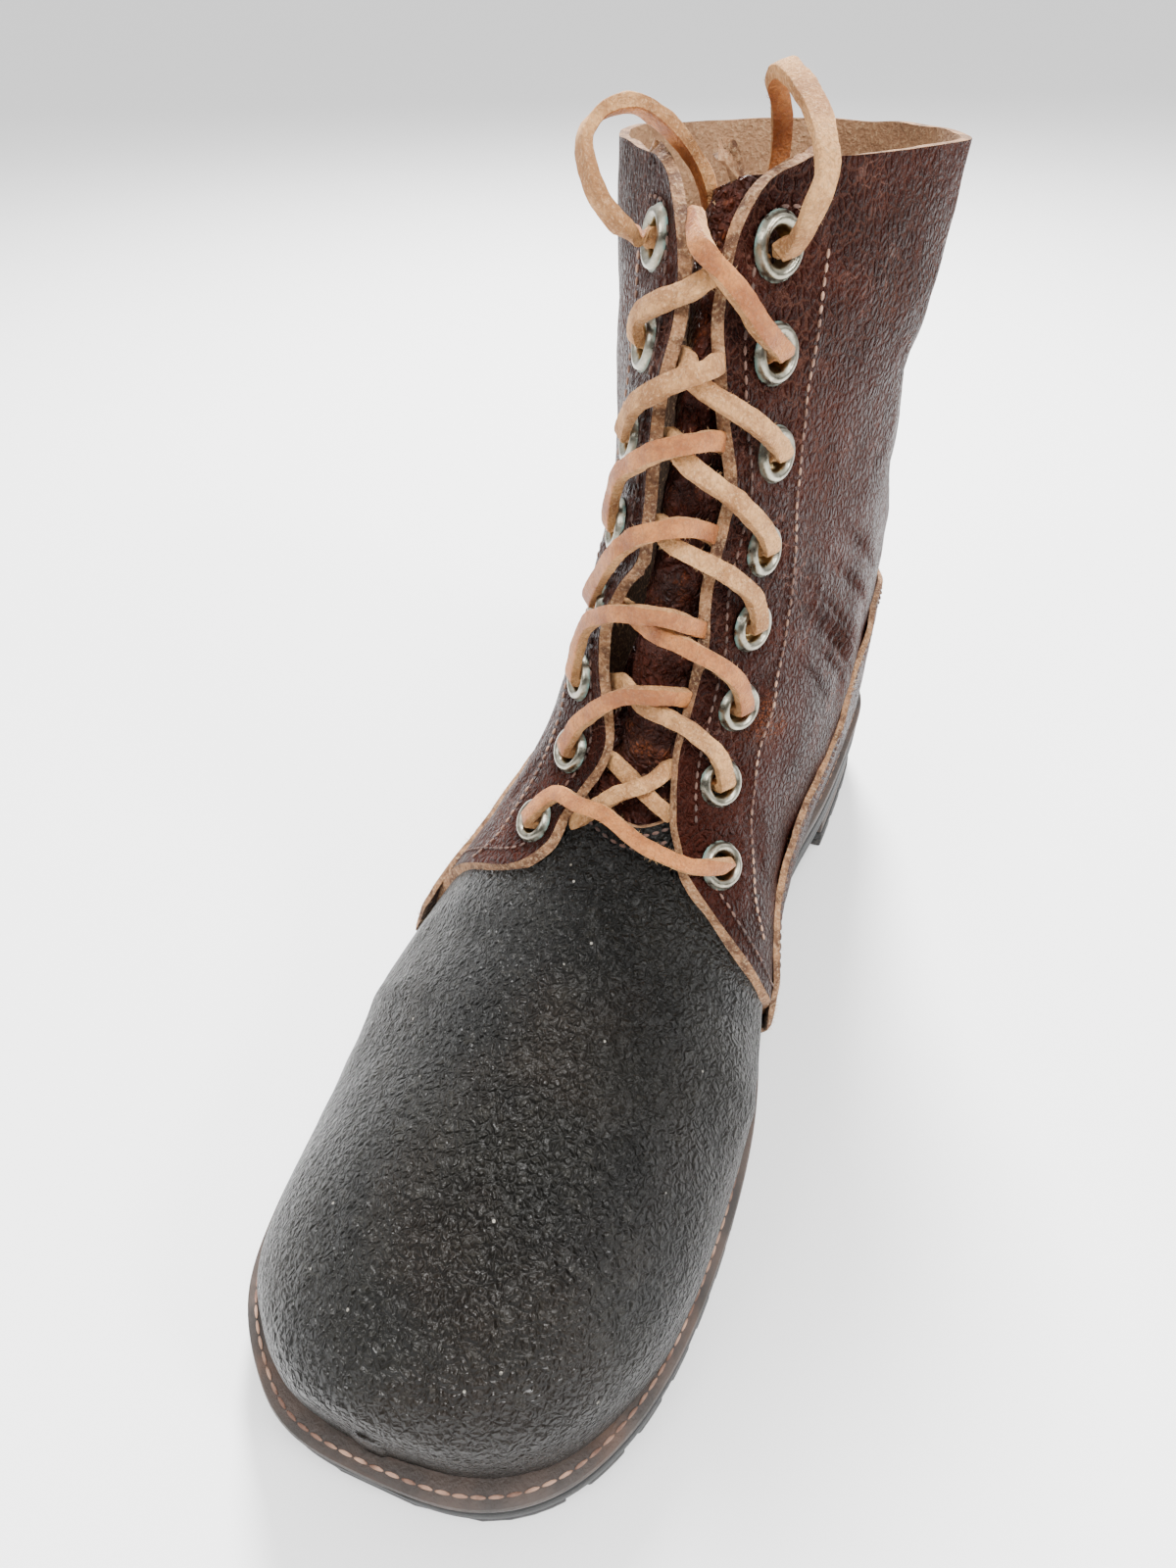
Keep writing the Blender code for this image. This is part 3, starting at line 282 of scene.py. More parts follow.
def rounded(share, power):
    """Width of a rounded end: 0 at the end and 1 from its radius on."""
    share = np.clip(share, 0.0, 1.0)
    return (1.0 - (1.0 - share) ** power) ** (1.0 / power)


def last_surface(station, turn):
    """Point on the last: turn 0 is the ridge, +1 or -1 the sole side, + is medial."""
    turn = (np.asarray(turn, dtype=float) + 1.0) % 2.0 - 1.0
    values = spline(SECTIONS, station)
    row = {name: values[..., number] for number, name in enumerate(SECTION_COLUMNS)}
    ridge_y = row["ridge_y"] * LAST_LENGTH
    level = row["ridge_level"]
    ridge_z = np.minimum(level, 1.0) * INSTEP_HEIGHT
    ridge_z = ridge_z + np.maximum(level - 1.0, 0.0) * (SHAFT_HEIGHT - INSTEP_HEIGHT)
    sole_y = row["sole_y"] * LAST_LENGTH
    sole_z = feather(sole_y) + row["sole_level"] * (SHAFT_HEIGHT - HEEL_HEIGHT)
    length = np.hypot(sole_y - ridge_y, sole_z - ridge_z)
    share = (1.0 - np.cos(np.pi * np.abs(turn))) / 2.0
    along = share * length
    top_radius = np.minimum(row["top_radius"] * BALL_WIDTH, 0.98 * length)
    edge_radius = np.minimum(row["edge_radius"] * BALL_WIDTH, length - 0.6 * top_radius)
    width = np.where(turn > 0, row["medial"], row["lateral"]) * BALL_WIDTH
    width = width * (1.0 - row["narrow"] * smooth(share))
    width = width * rounded(along / top_radius, row["top_power"])
    width = width * rounded((length - along) / edge_radius, 2.0)
    middle = row["ridge_x"] + (row["sole_x"] - row["ridge_x"]) * smooth(share)
    x = middle * BALL_WIDTH + np.sign(turn) * width
    y = ridge_y + (sole_y - ridge_y) * share
    z = ridge_z + (sole_z - ridge_z) * share
    return np.stack([x, y, z], axis=-1)


def last_normals(station, turn):
    """Outward unit normals of the last."""
    station = np.asarray(station, dtype=float)
    ahead = last_surface(np.minimum(station + 0.03, COLLAR), turn)
    behind = last_surface(np.maximum(station - 0.03, 0.0), turn)
    right = last_surface(station, np.asarray(turn) + 0.008)
    left = last_surface(station, np.asarray(turn) - 0.008)
    normal = np.cross(right - left, ahead - behind)
    return normal / np.maximum(np.linalg.norm(normal, axis=-1, keepdims=True), 1e-12)


def skin(station, turn, offset):
    """Point at a distance outside (+) or inside (-) the last."""
    offset = np.asarray(offset, dtype=float)
    return last_surface(station, turn) + last_normals(station, turn) * offset[..., None]


def settle_directions(directions):
    """Turn directions of the last to how the boot stands."""
    cosine = math.cos(LEG_TURN)
    sine = math.sin(LEG_TURN)
    x = directions[..., 0] * cosine - directions[..., 1] * sine
    y = directions[..., 0] * sine + directions[..., 1] * cosine
    return np.stack([x, y, directions[..., 2]], axis=-1)


def settle(points):
    """Turn and move places of the last to where the boot stands."""
    return settle_directions(np.asarray(points, dtype=float)) + SETTLE_SHIFT


def lengths_along(points):
    """Length travelled from the first point of a line to each of its points."""
    steps = np.linalg.norm(np.diff(points, axis=0), axis=1)
    return np.concatenate([[0.0], np.cumsum(steps)])


def read_along(wanted, travelled, values):
    """Columns of values read at wanted lengths along a line."""
    return np.stack([np.interp(wanted, travelled, column) for column in values.T], axis=-1)


def along_edge(rows, shares):
    """Station and turn at shares of the real length of an edge."""
    dense = spline(rows, np.linspace(0.0, len(rows) - 1, 400))
    travelled = lengths_along(last_surface(dense[:, 0], dense[:, 1]))
    return read_along(np.asarray(shares) * travelled[-1], travelled, dense)


def between_edges(s, t, front, back, foot, top):
    """Places inside four edges: s from front to back, t from foot to top."""
    s = s[:, None]
    t = t[:, None]
    left = along_edge(front, t[:, 0])
    right = along_edge(back, t[:, 0])
    low = along_edge(foot, s[:, 0])
    high = along_edge(top, s[:, 0])
    corners = {}
    for name, rows, share in (("a", foot, 0.0), ("b", foot, 1.0), ("c", top, 0.0), ("d", top, 1.0)):
        corners[name] = along_edge(rows, np.array([share]))
    blend = (1 - s) * (1 - t) * corners["a"] + s * (1 - t) * corners["b"]
    blend = blend + (1 - s) * t * corners["c"] + s * t * corners["d"]
    return (1 - s) * left + s * right + (1 - t) * low + t * high - blend


CREASE_SCALE = 0.0017


def crease_relief(points, side, creases):
    """Height of the soft troughs and ridges at points of one side, or of both where side is 0."""
    height = np.zeros(len(points))
    for crease_side, from_station, from_turn, to_station, to_turn, width, rise in creases:
        share = np.linspace(0.0, 1.0, 14)
        station = from_station + (to_station - from_station) * share
        bow = np.sin(np.pi * share) * 0.012
        turn = (from_turn + (to_turn - from_turn) * share + bow) * crease_side
        line = last_surface(station, turn)
        taper = np.sin(np.pi * np.clip(share * 0.9 + 0.05, 0.0, 1.0))
        gap = np.linalg.norm(points[:, None, :] - line[None, :, :], axis=2)
        nearest = np.argmin(gap, axis=1)
        distance = gap[np.arange(len(points)), nearest]
        fade = np.exp(-(distance / (width * 0.001)) ** 2)
        on_side = (np.sign(points[:, 0]) if side == 0 else side) == crease_side
        height = height + np.where(on_side, fade * taper[nearest] * rise * CREASE_SCALE, 0.0)
    return height


def wobble(points, size, seed):
    """Even noise between -1 and 1 at points, one bump to about each size."""
    offset = Vector((seed * 3.17, seed * 1.31, seed * 2.23))
    return np.array([noise.noise(Vector(point) / size + offset) for point in points])


# Shader maths

SPOT_SOFTNESS = 0.6


class Wire:
    """A number or colour on its way through a material."""

    def __init__(self, shade, socket):
        self.shade = shade
        self.socket = socket

    def maths(self, operation, first, second):
        """Result of one sum in the node tree."""
        return self.shade.node("ShaderNodeMath", {"operation": operation}, {0: first, 1: second})

    def __add__(self, other):
        return self.maths("ADD", self, other)

    def __radd__(self, other):
        return self.maths("ADD", other, self)

    def __sub__(self, other):
        return self.maths("SUBTRACT", self, other)

    def __rsub__(self, other):
        return self.maths("SUBTRACT", other, self)

    def __mul__(self, other):
        return self.maths("MULTIPLY", self, other)

    def __rmul__(self, other):
        return self.maths("MULTIPLY", other, self)


class Shade:
    """One material with its node tree."""

    def __init__(self, name):
        self.material = bpy.data.materials.new(name)
        self.material.use_nodes = True
        self.tree = self.material.node_tree
        self.shader = self.tree.nodes["Principled BSDF"]
        self.place = self.node("ShaderNodeTexCoord", {}, {}, "Object")

    def feed(self, socket, value):
        """Link a wire to a socket, or set the socket's value."""
        if isinstance(value, Wire):
            self.tree.links.new(value.socket, socket)
        elif socket.type == "RGBA" and len(value) == 3:
            socket.default_value = (*value, 1.0)
        else:
            socket.default_value = value

    def node(self, kind, settings, inputs, output=0):
        """Add a node with its settings and inputs, and give one of its outputs."""
        node = self.tree.nodes.new(kind)
        for name, value in settings.items():
            setattr(node, name, value)
        for name, value in inputs.items():
            self.feed(node.inputs[name], value)
        return Wire(self, node.outputs[output])

    def cloud(self, size, detail=3.0, rough=0.55, bend=0.0):
        """Soft noise, one bump to about each size in metres."""
        values = {"Vector": self.place, "Scale": 1.0 / size, "Detail": detail, "Roughness": rough}
        values["Distortion"] = bend
        return self.node("ShaderNodeTexNoise", {}, values, "Fac")

    def bent(self, size, amount):
        """Object places pushed about by noise of a size, by an amount in metres."""
        values = {"Vector": self.place, "Scale": 1.0 / size, "Detail": 2.0}
        push = self.node("ShaderNodeTexNoise", {}, values, "Color")
        push = self.node("ShaderNodeVectorMath", {"operation": "SUBTRACT"}, {0: push, 1: (0.5, 0.5, 0.5)})
        push = self.node("ShaderNodeVectorMath", {"operation": "SCALE"}, {0: push, "Scale": amount * 2.0})
        return self.node("ShaderNodeVectorMath", {"operation": "ADD"}, {0: self.place, 1: push})

    def cells(self, size, feature="DISTANCE_TO_EDGE", place=None, stretch=1.0):
        """Cell pattern, one cell to about each size in metres."""
        place = place or self.place
        if stretch != 1.0:
            values = {"Vector": place, "Scale": (1.0, 1.0, stretch)}
            place = self.node("ShaderNodeMapping", {"vector_type": "POINT"}, values)
        values = {"Vector": place, "Scale": 1.0 / size}
        return self.node("ShaderNodeTexVoronoi", {"feature": feature}, values, "Distance")

    def step(self, value, low, high):
        """Soft step from 0 to 1 as a value goes from low to high."""
        values = {"Value": value, "From Min": low, "From Max": high}
        return self.node("ShaderNodeMapRange", {"interpolation_type": "SMOOTHSTEP"}, values)

    def mix(self, share, first, second):
        """Colour between two colours."""
        values = {0: share, 6: first, 7: second}
        return self.node("ShaderNodeMix", {"data_type": "RGBA"}, values, 2)

    def axis(self, name):
        """One coordinate of the place on the boot."""
        return self.node("ShaderNodeSeparateXYZ", {}, {0: self.place}, name)

    def spot(self, centre, radius, wander):
        """Patch of 1 at a place of the boot, fading to 0 with an uneven edge."""
        values = {0: self.bent(0.012, wander), 1: centre}
        away = self.node("ShaderNodeVectorMath", {"operation": "DISTANCE"}, values, "Value")
        return self.step(away, radius * (1.0 + SPOT_SOFTNESS), radius * (1.0 - SPOT_SOFTNESS))

    def finish(self, colour, rough, height=None, depth=0.0003, metal=0.0, **constants):
        """Connect colour, roughness, metal and relief, and set any constant inputs."""
        self.feed(self.shader.inputs["Base Color"], colour)
        self.feed(self.shader.inputs["Roughness"], rough)
        self.feed(self.shader.inputs["Metallic"], metal)
        if height is not None:
            values = {"Height": height, "Distance": depth}
            bump = self.node("ShaderNodeBump", {}, values, "Normal")
            self.feed(self.shader.inputs["Normal"], bump)
        for name, value in constants.items():
            self.shader.inputs[name.replace("_", " ")].default_value = value
        return self.material


MATERIALS = {}


def brown_leather(colours):
    """Oxblood brown leather with a round pebble grain, paler in its grooves where worn, with painted shade
    near the sole.
    """
    shade = Shade("brown_leather")
    place = shade.bent(0.0030, 0.0009)
    edge = shade.cells(0.0021, place=place, stretch=0.85)
    fine = shade.cells(0.0009, place=place)
    groove = 1.0 - shade.step(edge, 0.02, 0.14)
    cloud = shade.cloud(0.035, 4.0)
    blot = shade.cloud(0.010, 4.0, 0.6)
    tone = shade.mix(shade.step(cloud, 0.35, 0.70), colours.brown_dark, colours.brown)
    tone = shade.mix(shade.step(blot, 0.45, 0.75) * 0.5, tone, colours.brown_red)
    height = shade.axis("Z")
    upper_wear = shade.step(height, 0.105, 0.190)
    worn = shade.step(shade.cloud(0.024, 5.0, 0.6), 0.46, 0.68)
    tone = shade.mix(groove * (0.10 + 0.20 * upper_wear + 0.30 * worn), tone, colours.brown_worn)
    crack = shade.cells(0.0050, place=shade.bent(0.005, 0.004), stretch=0.7)
    crack = (1.0 - shade.step(crack, 0.0, 0.05)) * shade.step(shade.cloud(0.020, 4.0, 0.6), 0.50, 0.66)
    tone = shade.mix(crack * 0.35, tone, colours.crack)
    scuff = shade.step(shade.cloud(0.0016, 4.0, 0.65), 0.54, 0.68)
    for centre, radius, amount in SCUFFS:
        tone = shade.mix(scuff * shade.spot(centre, radius, 0.006) * amount, tone, colours.scuff)
    for centre, radius, amount in RUBS:
        patch = shade.spot(centre, radius, 0.008) * shade.step(fine, 0.02, 0.20)
        tone = shade.mix(patch * amount, tone, colours.rub)
    # Painted shade: the leather is darkened in patches towards the sole, where shade falls.
    painted_shade = shade.step(height, 0.065, 0.020) * shade.step(blot, 0.30, 0.60)
    tone = shade.mix(painted_shade * 0.55, tone, colours.painted_shade)
    rough = 0.27 + 0.22 * groove + 0.12 * worn + 0.10 * blot
    relief = shade.step(edge, 0.0, 0.32) + 0.30 * shade.step(fine, 0.0, 0.25) + 0.9 * shade.cloud(0.0060, 3.0)
    return shade.finish(tone, rough, relief - 0.5 * crack, 0.0011, Specular_IOR_Level=0.045)


def black_leather(colours):
    """Nearly black vamp leather with a coarse wrinkled pebble and a soft gloss."""
    shade = Shade("black_leather")
    wrinkle = shade.cloud(0.0030, 2.5, 0.50, 0.9)
    ridge = shade.cells(0.0026, "F1", shade.bent(0.0036, 0.0020), 0.8)
    edge = shade.cells(0.0019, place=shade.bent(0.0034, 0.0022))
    fine = shade.cloud(0.0009, 3.0, 0.6)
    groove = 1.0 - shade.step(edge, 0.0, 0.14)
    cloud = shade.cloud(0.030, 4.0)
    tone = shade.mix(shade.step(cloud, 0.32, 0.68), colours.black_dark, colours.black)
    brown = shade.step(shade.cloud(0.050, 3.0), 0.48, 0.72)
    tone = shade.mix(brown * 0.4, tone, colours.black_brown)
    tone = shade.mix(shade.step(wrinkle, 0.54, 0.72) * 0.35, tone, colours.black_worn)
    tone = shade.mix(groove * 0.30, tone, colours.black_dark)
    speck = shade.step(shade.cells(0.0075, "F1"), 0.055, 0.035)
    tone = shade.mix(speck * 0.8, tone, colours.speck)
    rough = 0.25 + 0.14 * groove + 0.12 * cloud + 0.08 * fine
    relief = 0.55 * shade.step(edge, 0.0, 0.36) + 1.5 * wrinkle - 0.5 * ridge + 0.15 * fine
    return shade.finish(tone, rough, relief, 0.0013, Specular_IOR_Level=0.20)


def raw_edge(colours):
    """Cut edge of thick leather: tan fibres, darker where it was handled."""
    shade = Shade("raw_edge")
    cloud = shade.cloud(0.0050, 4.0, 0.6)
    fibre = shade.cloud(0.0008, 4.0, 0.65)
    tone = shade.mix(shade.step(cloud, 0.36, 0.62), colours.edge_dark, colours.edge)
    tone = shade.mix(shade.step(fibre, 0.48, 0.68) * 0.50, tone, colours.edge_pale)
    tone = shade.mix(shade.step(fibre, 0.46, 0.34) * 0.6, tone, colours.edge_dark)
    return shade.finish(tone, 0.88, fibre + 0.5 * cloud, 0.0009)


def flesh_side(colours):
    """Rough flesh side of the leather inside the boot, with painted shade deeper down."""
    shade = Shade("flesh_side")
    cloud = shade.cloud(0.016, 5.0, 0.6)
    fibre = shade.cloud(0.0012, 4.0, 0.65)
    stain = shade.step(shade.cloud(0.030, 3.0), 0.50, 0.72)
    # Painted shade: the flesh side is darkened towards the bottom, deep inside the boot where shade falls.
    deep = shade.step(shade.axis("Z"), 0.200, 0.165)
    tone = shade.mix(shade.step(cloud, 0.32, 0.68), colours.flesh_dark, colours.flesh)
    tone = shade.mix(deep * 0.85, tone, colours.painted_shade)
    tone = shade.mix(stain * 0.35, tone, colours.edge_dark)
    tone = shade.mix(shade.step(fibre, 0.48, 0.72) * 0.5, tone, colours.edge_pale)
    return shade.finish(tone, 0.92, fibre + 0.6 * cloud, 0.0010)


def tongue_leather(colours):
    """Shiny brown tongue with coarse pebbles."""
    shade = Shade("tongue_leather")
    place = shade.bent(0.004, 0.0016)
    edge = shade.cells(0.0027, place=place)
    fine = shade.cells(0.0011, place=place)
    groove = 1.0 - shade.step(edge, 0.02, 0.16)
    cloud = shade.cloud(0.014, 4.0)
    tone = shade.mix(shade.step(cloud, 0.35, 0.66), colours.tongue_dark, colours.tongue)
    rub = shade.step(shade.cloud(0.009, 4.0, 0.6), 0.52, 0.70)
    tone = shade.mix(rub * 0.55 * shade.step(fine, 0.0, 0.2), tone, colours.rub)
    tone = shade.mix(groove * 0.5, tone, colours.tongue_dark)
    rough = 0.26 + 0.22 * groove + 0.14 * cloud
    relief = shade.step(edge, 0.0, 0.34) + 0.3 * shade.step(fine, 0.0, 0.3) + 1.0 * shade.cloud(0.005, 3.0)
    return shade.finish(tone, rough, relief, 0.0011, Specular_IOR_Level=0.16)


def rawhide(colours, name, pale, dark, rough, speckle):
    """Lace leather: fuzzy suede or the smooth orange grain side."""
    shade = Shade(name)
    cloud = shade.cloud(0.008, 4.0, 0.6)
    fibre = shade.cloud(0.0007, 4.0, 0.7)
    crack = shade.cells(0.0018, place=shade.bent(0.002, 0.0018), stretch=0.6)
    tone = shade.mix(shade.step(cloud, 0.36, 0.64), dark, pale)
    tone = shade.mix(shade.step(fibre, 0.50, 0.66) * speckle, tone, colours.lace_fuzz)
    tone = shade.mix(shade.step(fibre, 0.46, 0.34) * 0.6, tone, dark)
    tone = shade.mix((1.0 - shade.step(crack, 0.0, 0.10)) * 0.3, tone, colours.edge_dark)
    return shade.finish(tone, rough, fibre + 0.5 * cloud, 0.0008)


def eyelet_metal(colours):
    """Dull nickel-coloured ring, brassy inside, with green patina at its rim."""
    shade = Shade("eyelet_metal")
    part = shade.node("ShaderNodeAttribute", {"attribute_name": "rim"}, {}, "Fac")
    cloud = shade.cloud(0.0022, 4.0, 0.6)
    fine = shade.cloud(0.0006, 3.0, 0.6)
    tone = shade.mix(shade.step(cloud, 0.35, 0.68), colours.nickel_dark, colours.nickel)
    brass = shade.step(part, 0.30, 0.10)
    tone = shade.mix(brass * 0.75, tone, colours.brass)
    rust = shade.step(part, 0.72, 0.98) * shade.step(cloud, 0.38, 0.58)
    tone = shade.mix(rust * 0.85, tone, colours.patina)
    spots = shade.step(fine, 0.60, 0.72) * 0.4
    tone = shade.mix(spots, tone, colours.patina_dark)
    metal = 1.0 - 0.8 * rust - 0.4 * spots
    rough = 0.20 + 0.34 * rust + 0.20 * cloud
    return shade.finish(tone, rough, cloud + 0.4 * fine, 0.00012, metal)


def sole_rubber(colours):
    """Matt black rubber, dusty in its hollows."""
    shade = Shade("sole_rubber")
    cloud = shade.cloud(0.020, 4.0)
    fine = shade.cloud(0.0012, 4.0, 0.65)
    tone = shade.mix(shade.step(cloud, 0.35, 0.68), colours.rubber_dark, colours.rubber)
    low = shade.step(shade.axis("Z"), 0.010, 0.0)
    tone = shade.mix(low * 0.35 * shade.step(fine, 0.4, 0.7), tone, colours.dust)
    return shade.finish(tone, 0.62 + 0.2 * cloud, fine + cloud, 0.00025)


def sole_leather(colours):
    """Dark dressed leather of welt and midsole, with fine layers along its edge."""
    shade = Shade("sole_leather")
    cloud = shade.cloud(0.012, 4.0)
    fine = shade.cloud(0.0009, 4.0, 0.65)
    squeeze = {"Vector": shade.place, "Scale": (30.0, 30.0, 900.0)}
    layers = shade.node("ShaderNodeMapping", {"vector_type": "POINT"}, squeeze)
    layers = shade.node("ShaderNodeTexNoise", {}, {"Vector": layers, "Scale": 1.0, "Detail": 3.0}, "Fac")
    tone = shade.mix(shade.step(cloud, 0.35, 0.68), colours.welt_dark, colours.welt)
    tone = shade.mix(shade.step(layers, 0.45, 0.70) * 0.35, tone, colours.edge_dark)
    return shade.finish(tone, 0.50 + 0.2 * fine, 0.6 * layers + fine, 0.0003)


def insole_leather(colours):
    """Bare insole leather, darker where the foot was."""
    shade = Shade("insole_leather")
    cloud = shade.cloud(0.020, 4.0)
    fine = shade.cloud(0.0010, 4.0, 0.6)
    tone = shade.mix(shade.step(cloud, 0.35, 0.66), colours.edge_dark, colours.flesh)
    return shade.finish(tone, 0.75, fine + cloud, 0.0003)


def thread(name, pale, dark):
    """Twisted thread of a stitch."""
    shade = Shade(name)
    cloud = shade.cloud(0.008, 3.0)
    fine = shade.cloud(0.0004, 3.0, 0.6)
    tone = shade.mix(shade.step(cloud, 0.38, 0.64), dark, pale)
    return shade.finish(tone, 0.75, fine, 0.0002)


def floor_paint():
    """Plain pale floor."""
    shade = Shade("pale_floor")
    cloud = shade.cloud(0.5, 2.0)
    tone = shade.mix(cloud * 0.2, (0.93, 0.93, 0.93), (0.89, 0.89, 0.89))
    return shade.finish(tone, 0.8)


def make_materials(colours):
    """Make every finish once, for all pieces."""
    MATERIALS["brown"] = brown_leather(colours)
    MATERIALS["black"] = black_leather(colours)
    MATERIALS["edge"] = raw_edge(colours)
    MATERIALS["flesh"] = flesh_side(colours)
    MATERIALS["tongue"] = tongue_leather(colours)
    suede = (colours.lace_suede, colours.lace_suede_dark)
    grain = (colours.lace_grain, colours.lace_grain_dark)
    MATERIALS["lace_suede"] = rawhide(colours, "lace_suede", *suede, 0.88, 0.55)
    MATERIALS["lace_grain"] = rawhide(colours, "lace_grain", *grain, 0.55, 0.14)
    MATERIALS["eyelet"] = eyelet_metal(colours)
    MATERIALS["rubber"] = sole_rubber(colours)
    MATERIALS["welt"] = sole_leather(colours)
    MATERIALS["insole"] = insole_leather(colours)
    MATERIALS["fibre"] = thread("fibre", colours.edge_pale, colours.edge)
    MATERIALS["thread"] = thread("thread_brown", colours.thread, colours.thread_dark)
    MATERIALS["thread_pale"] = thread("thread_pale", colours.thread_pale, colours.thread)


# Making pieces

SMALL_SHARP = 60.0
CUT_BEVEL = 0.00035
HOLE_ROOM = 0.0009


def finish_piece(name, bm, materials, replaced=(), sharp=40.0):
    """Turn a finished bmesh into a piece that rides on the boot."""
    mesh = bpy.data.meshes.new(name)
    bm.to_mesh(mesh)
    bm.free()
    for key in materials:
        mesh.materials.append(MATERIALS[key])
    mesh.polygons.foreach_set("use_smooth", [True] * len(mesh.polygons))
    mesh.set_sharp_from_angle(angle=math.radians(sharp))
    piece = bpy.data.objects.new(name, mesh)
    bpy.context.scene.collection.objects.link(piece)
    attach(piece, "root")
    if replaced:
        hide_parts(*replaced)
    return piece


def grid(columns, rows, places):
    """Grid of quads whose corners go to places(s, t), in the frame of the last."""
    bm = bmesh.new()
    bm.loops.layers.uv.new("UVMap")
    bmesh.ops.create_grid(bm, x_segments=columns, y_segments=rows, size=0.5, calc_uvs=True)
    shares = np.array([vert.co[:2] for vert in bm.verts]) + 0.5
    points = places(shares[:, 0], shares[:, 1])
    for vert, point in zip(bm.verts, settle(points)):
        vert.co = point
    number_vertices(bm)
    return bm, shares


def thicken(bm, thickness, borders):
    """Give a sheet its wall, with cut edges flared outwards, and mark its three faces.

    borders holds pairs of a border's vertices with their directions and how far the inner side flares."""
    bm.normal_update()
    number = bm.verts.layers.int.get("number")
    inner = {}
    flares = {}
    for members, flare in borders:
        for vert, outward in members:
            flares[vert[number]] = outward * flare
    for vert in bm.verts:
        place = vert.co - vert.normal * thickness
        inner[vert[number]] = place + flares.get(vert[number], Vector((0.0, 0.0, 0.0)))
    everything = bm.faces[:] + bm.edges[:] + bm.verts[:]
    made = bmesh.ops.extrude_face_region(bm, geom=everything, use_keep_orig=True)
    moved = {item for item in made["geom"] if isinstance(item, bmesh.types.BMVert)}
    for vert in moved:
        vert.co = inner[vert[number]]
    for face in bm.faces:
        count = sum(vert in moved for vert in face.verts)
        face.material_index = 0 if count == 0 else 2 if count == len(face.verts) else 1
    rims = []
    for edge in bm.edges:
        kinds = {face.material_index for face in edge.link_faces}
        if kinds == {0, 1}:
            rims.append(edge)
    bmesh.ops.bevel(
        bm, geom=rims, offset=CUT_BEVEL, segments=2, profile=0.5, affect="EDGES", material=-1,
        clamp_overlap=True,
    )
    bmesh.ops.recalc_face_normals(bm, faces=bm.faces)


def join_into(bm, part):
    """Move a part's mesh into another one."""
    mesh = bpy.data.meshes.new("part")
    part.to_mesh(mesh)
    part.free()
    bm.from_mesh(mesh)
    bpy.data.meshes.remove(mesh)


def number_vertices(bm):
    """Keep each vertex's number through the cuts that follow."""
    layer = bm.verts.layers.int.new("number")
    for count, vert in enumerate(bm.verts):
        vert[layer] = count


def border(bm, shares, column, value):
    """Vertices on one side of a grid, each with the direction that leaves the sheet."""
    across = 1 - column
    lookup = {}
    for vert, share in zip(bm.verts, shares):
        lookup[(round(float(share[column]), 5), round(float(share[across]), 5))] = vert
    found = []
    levels = sorted({key[0] for key in lookup})
    inside = levels[1] if value == 0.0 else levels[-2]
    for vert, share in zip(bm.verts, shares):
        if abs(share[column] - value) < 1e-6:
            neighbour = lookup[(inside, round(float(share[across]), 5))]
            found.append((vert, (vert.co - neighbour.co).normalized()))
    return found


def eyelet_places():
    """Centre, normal and name of each eyelet, on the outer face of the quarters."""
    found = []
    for side, label in ((1, "medial"), (-1, "lateral")):
        for number, row in enumerate(EYELETS, start=1):
            turn = row[1] if side == 1 else -row[2]
            centre = skin(row[0], turn, OUTER_STEP)
            normal = last_normals(row[0], turn)
            found.append((centre, normal, label, number, side))
    return found


def quarter_relief(points, side, shares):
    """Creases, dents round the eyelets and soft waves of a quarter."""
    height = crease_relief(points, side, QUARTER_CREASES)
    for centre, _, _, _, eyelet_side in eyelet_places():
        if eyelet_side == side:
            distance = np.linalg.norm(points - centre, axis=1)
            height = height - 0.0005 * np.exp(-(distance / 0.0075) ** 4)
            height = height + 0.0004 * np.exp(-((distance - 0.010) / 0.003) ** 2)
    height = height + 0.0009 * wobble(points, 0.028, 3 + side)
    height = height + 0.00035 * wobble(points, 0.009, 7 + side)
    roll = np.exp(-(shares[:, 0] / 0.035) ** 2) * smooth((shares[:, 1] - 0.30) / 0.05)
    height = height + 0.0008 * roll
    fixed = smooth(shares[:, 1] / 0.05)
    return height * fixed * smooth((1.0 - shares[:, 0]) / 0.04 + 0.0001)


def make_quarter(side):
    """One quarter of the upper, from its facing round to the back seam."""
    front = (MEDIAL_FRONT + MEDIAL_FACING) if side == 1 else (LATERAL_FRONT + LATERAL_FACING)
    sizes = bpy.context.scene.boot_sizes

    def places(s, t):
        s_bent = s ** 1.15
        spots = between_edges(s_bent, t, front, QUARTER_BACK, QUARTER_FOOT, (front[-1],) + QUARTER_TOP[1:])
        station = np.clip(spots[:, 0], 0.0, COLLAR)
        turn = spots[:, 1] * side
        points = skin(station, turn, np.full(len(s), OUTER_STEP))
        shares = np.stack([s, t], axis=1)
        height = quarter_relief(points, side, shares)
        waves = 0.0009 * wobble(points, 0.020, 11 + side) * smooth((t - 0.985) / 0.015)
        points = points + last_normals(station, turn) * height[:, None]
        points[:, 2] += waves
        return points

    bm, shares = grid(sizes.quarter_columns, sizes.quarter_rows, places)
    borders = [(border(bm, shares, 0, 0.0), sizes.edge_flare), (border(bm, shares, 1, 1.0), 0.0)]
    centres = [settle(centre) for centre, _, _, _, eyelet_side in eyelet_places() if eyelet_side == side]
    radius = sizes.eyelet_hole / 2 + HOLE_ROOM
    doomed = []
    for face in bm.faces:
        middle = face.calc_center_median()
        if any((middle - Vector(centre)).length < radius for centre in centres):
            doomed.append(face)
    bmesh.ops.delete(bm, geom=doomed, context="FACES")
    if side == -1:
        bmesh.ops.reverse_faces(bm, faces=bm.faces)
    thicken(bm, sizes.leather_thickness, borders)
    label = "medial" if side == 1 else "lateral"
    finish_piece("quarter_" + label, bm, ("brown", "edge", "flesh"), ("upper",))


# Stitched end of the vamp under the lace, and the share of its rows that closes the toe's tip

THROAT_STATION = 8.62
THROAT_BOW = 0.25
THROAT_WAVES = 16
TOE_CAP = 0.03


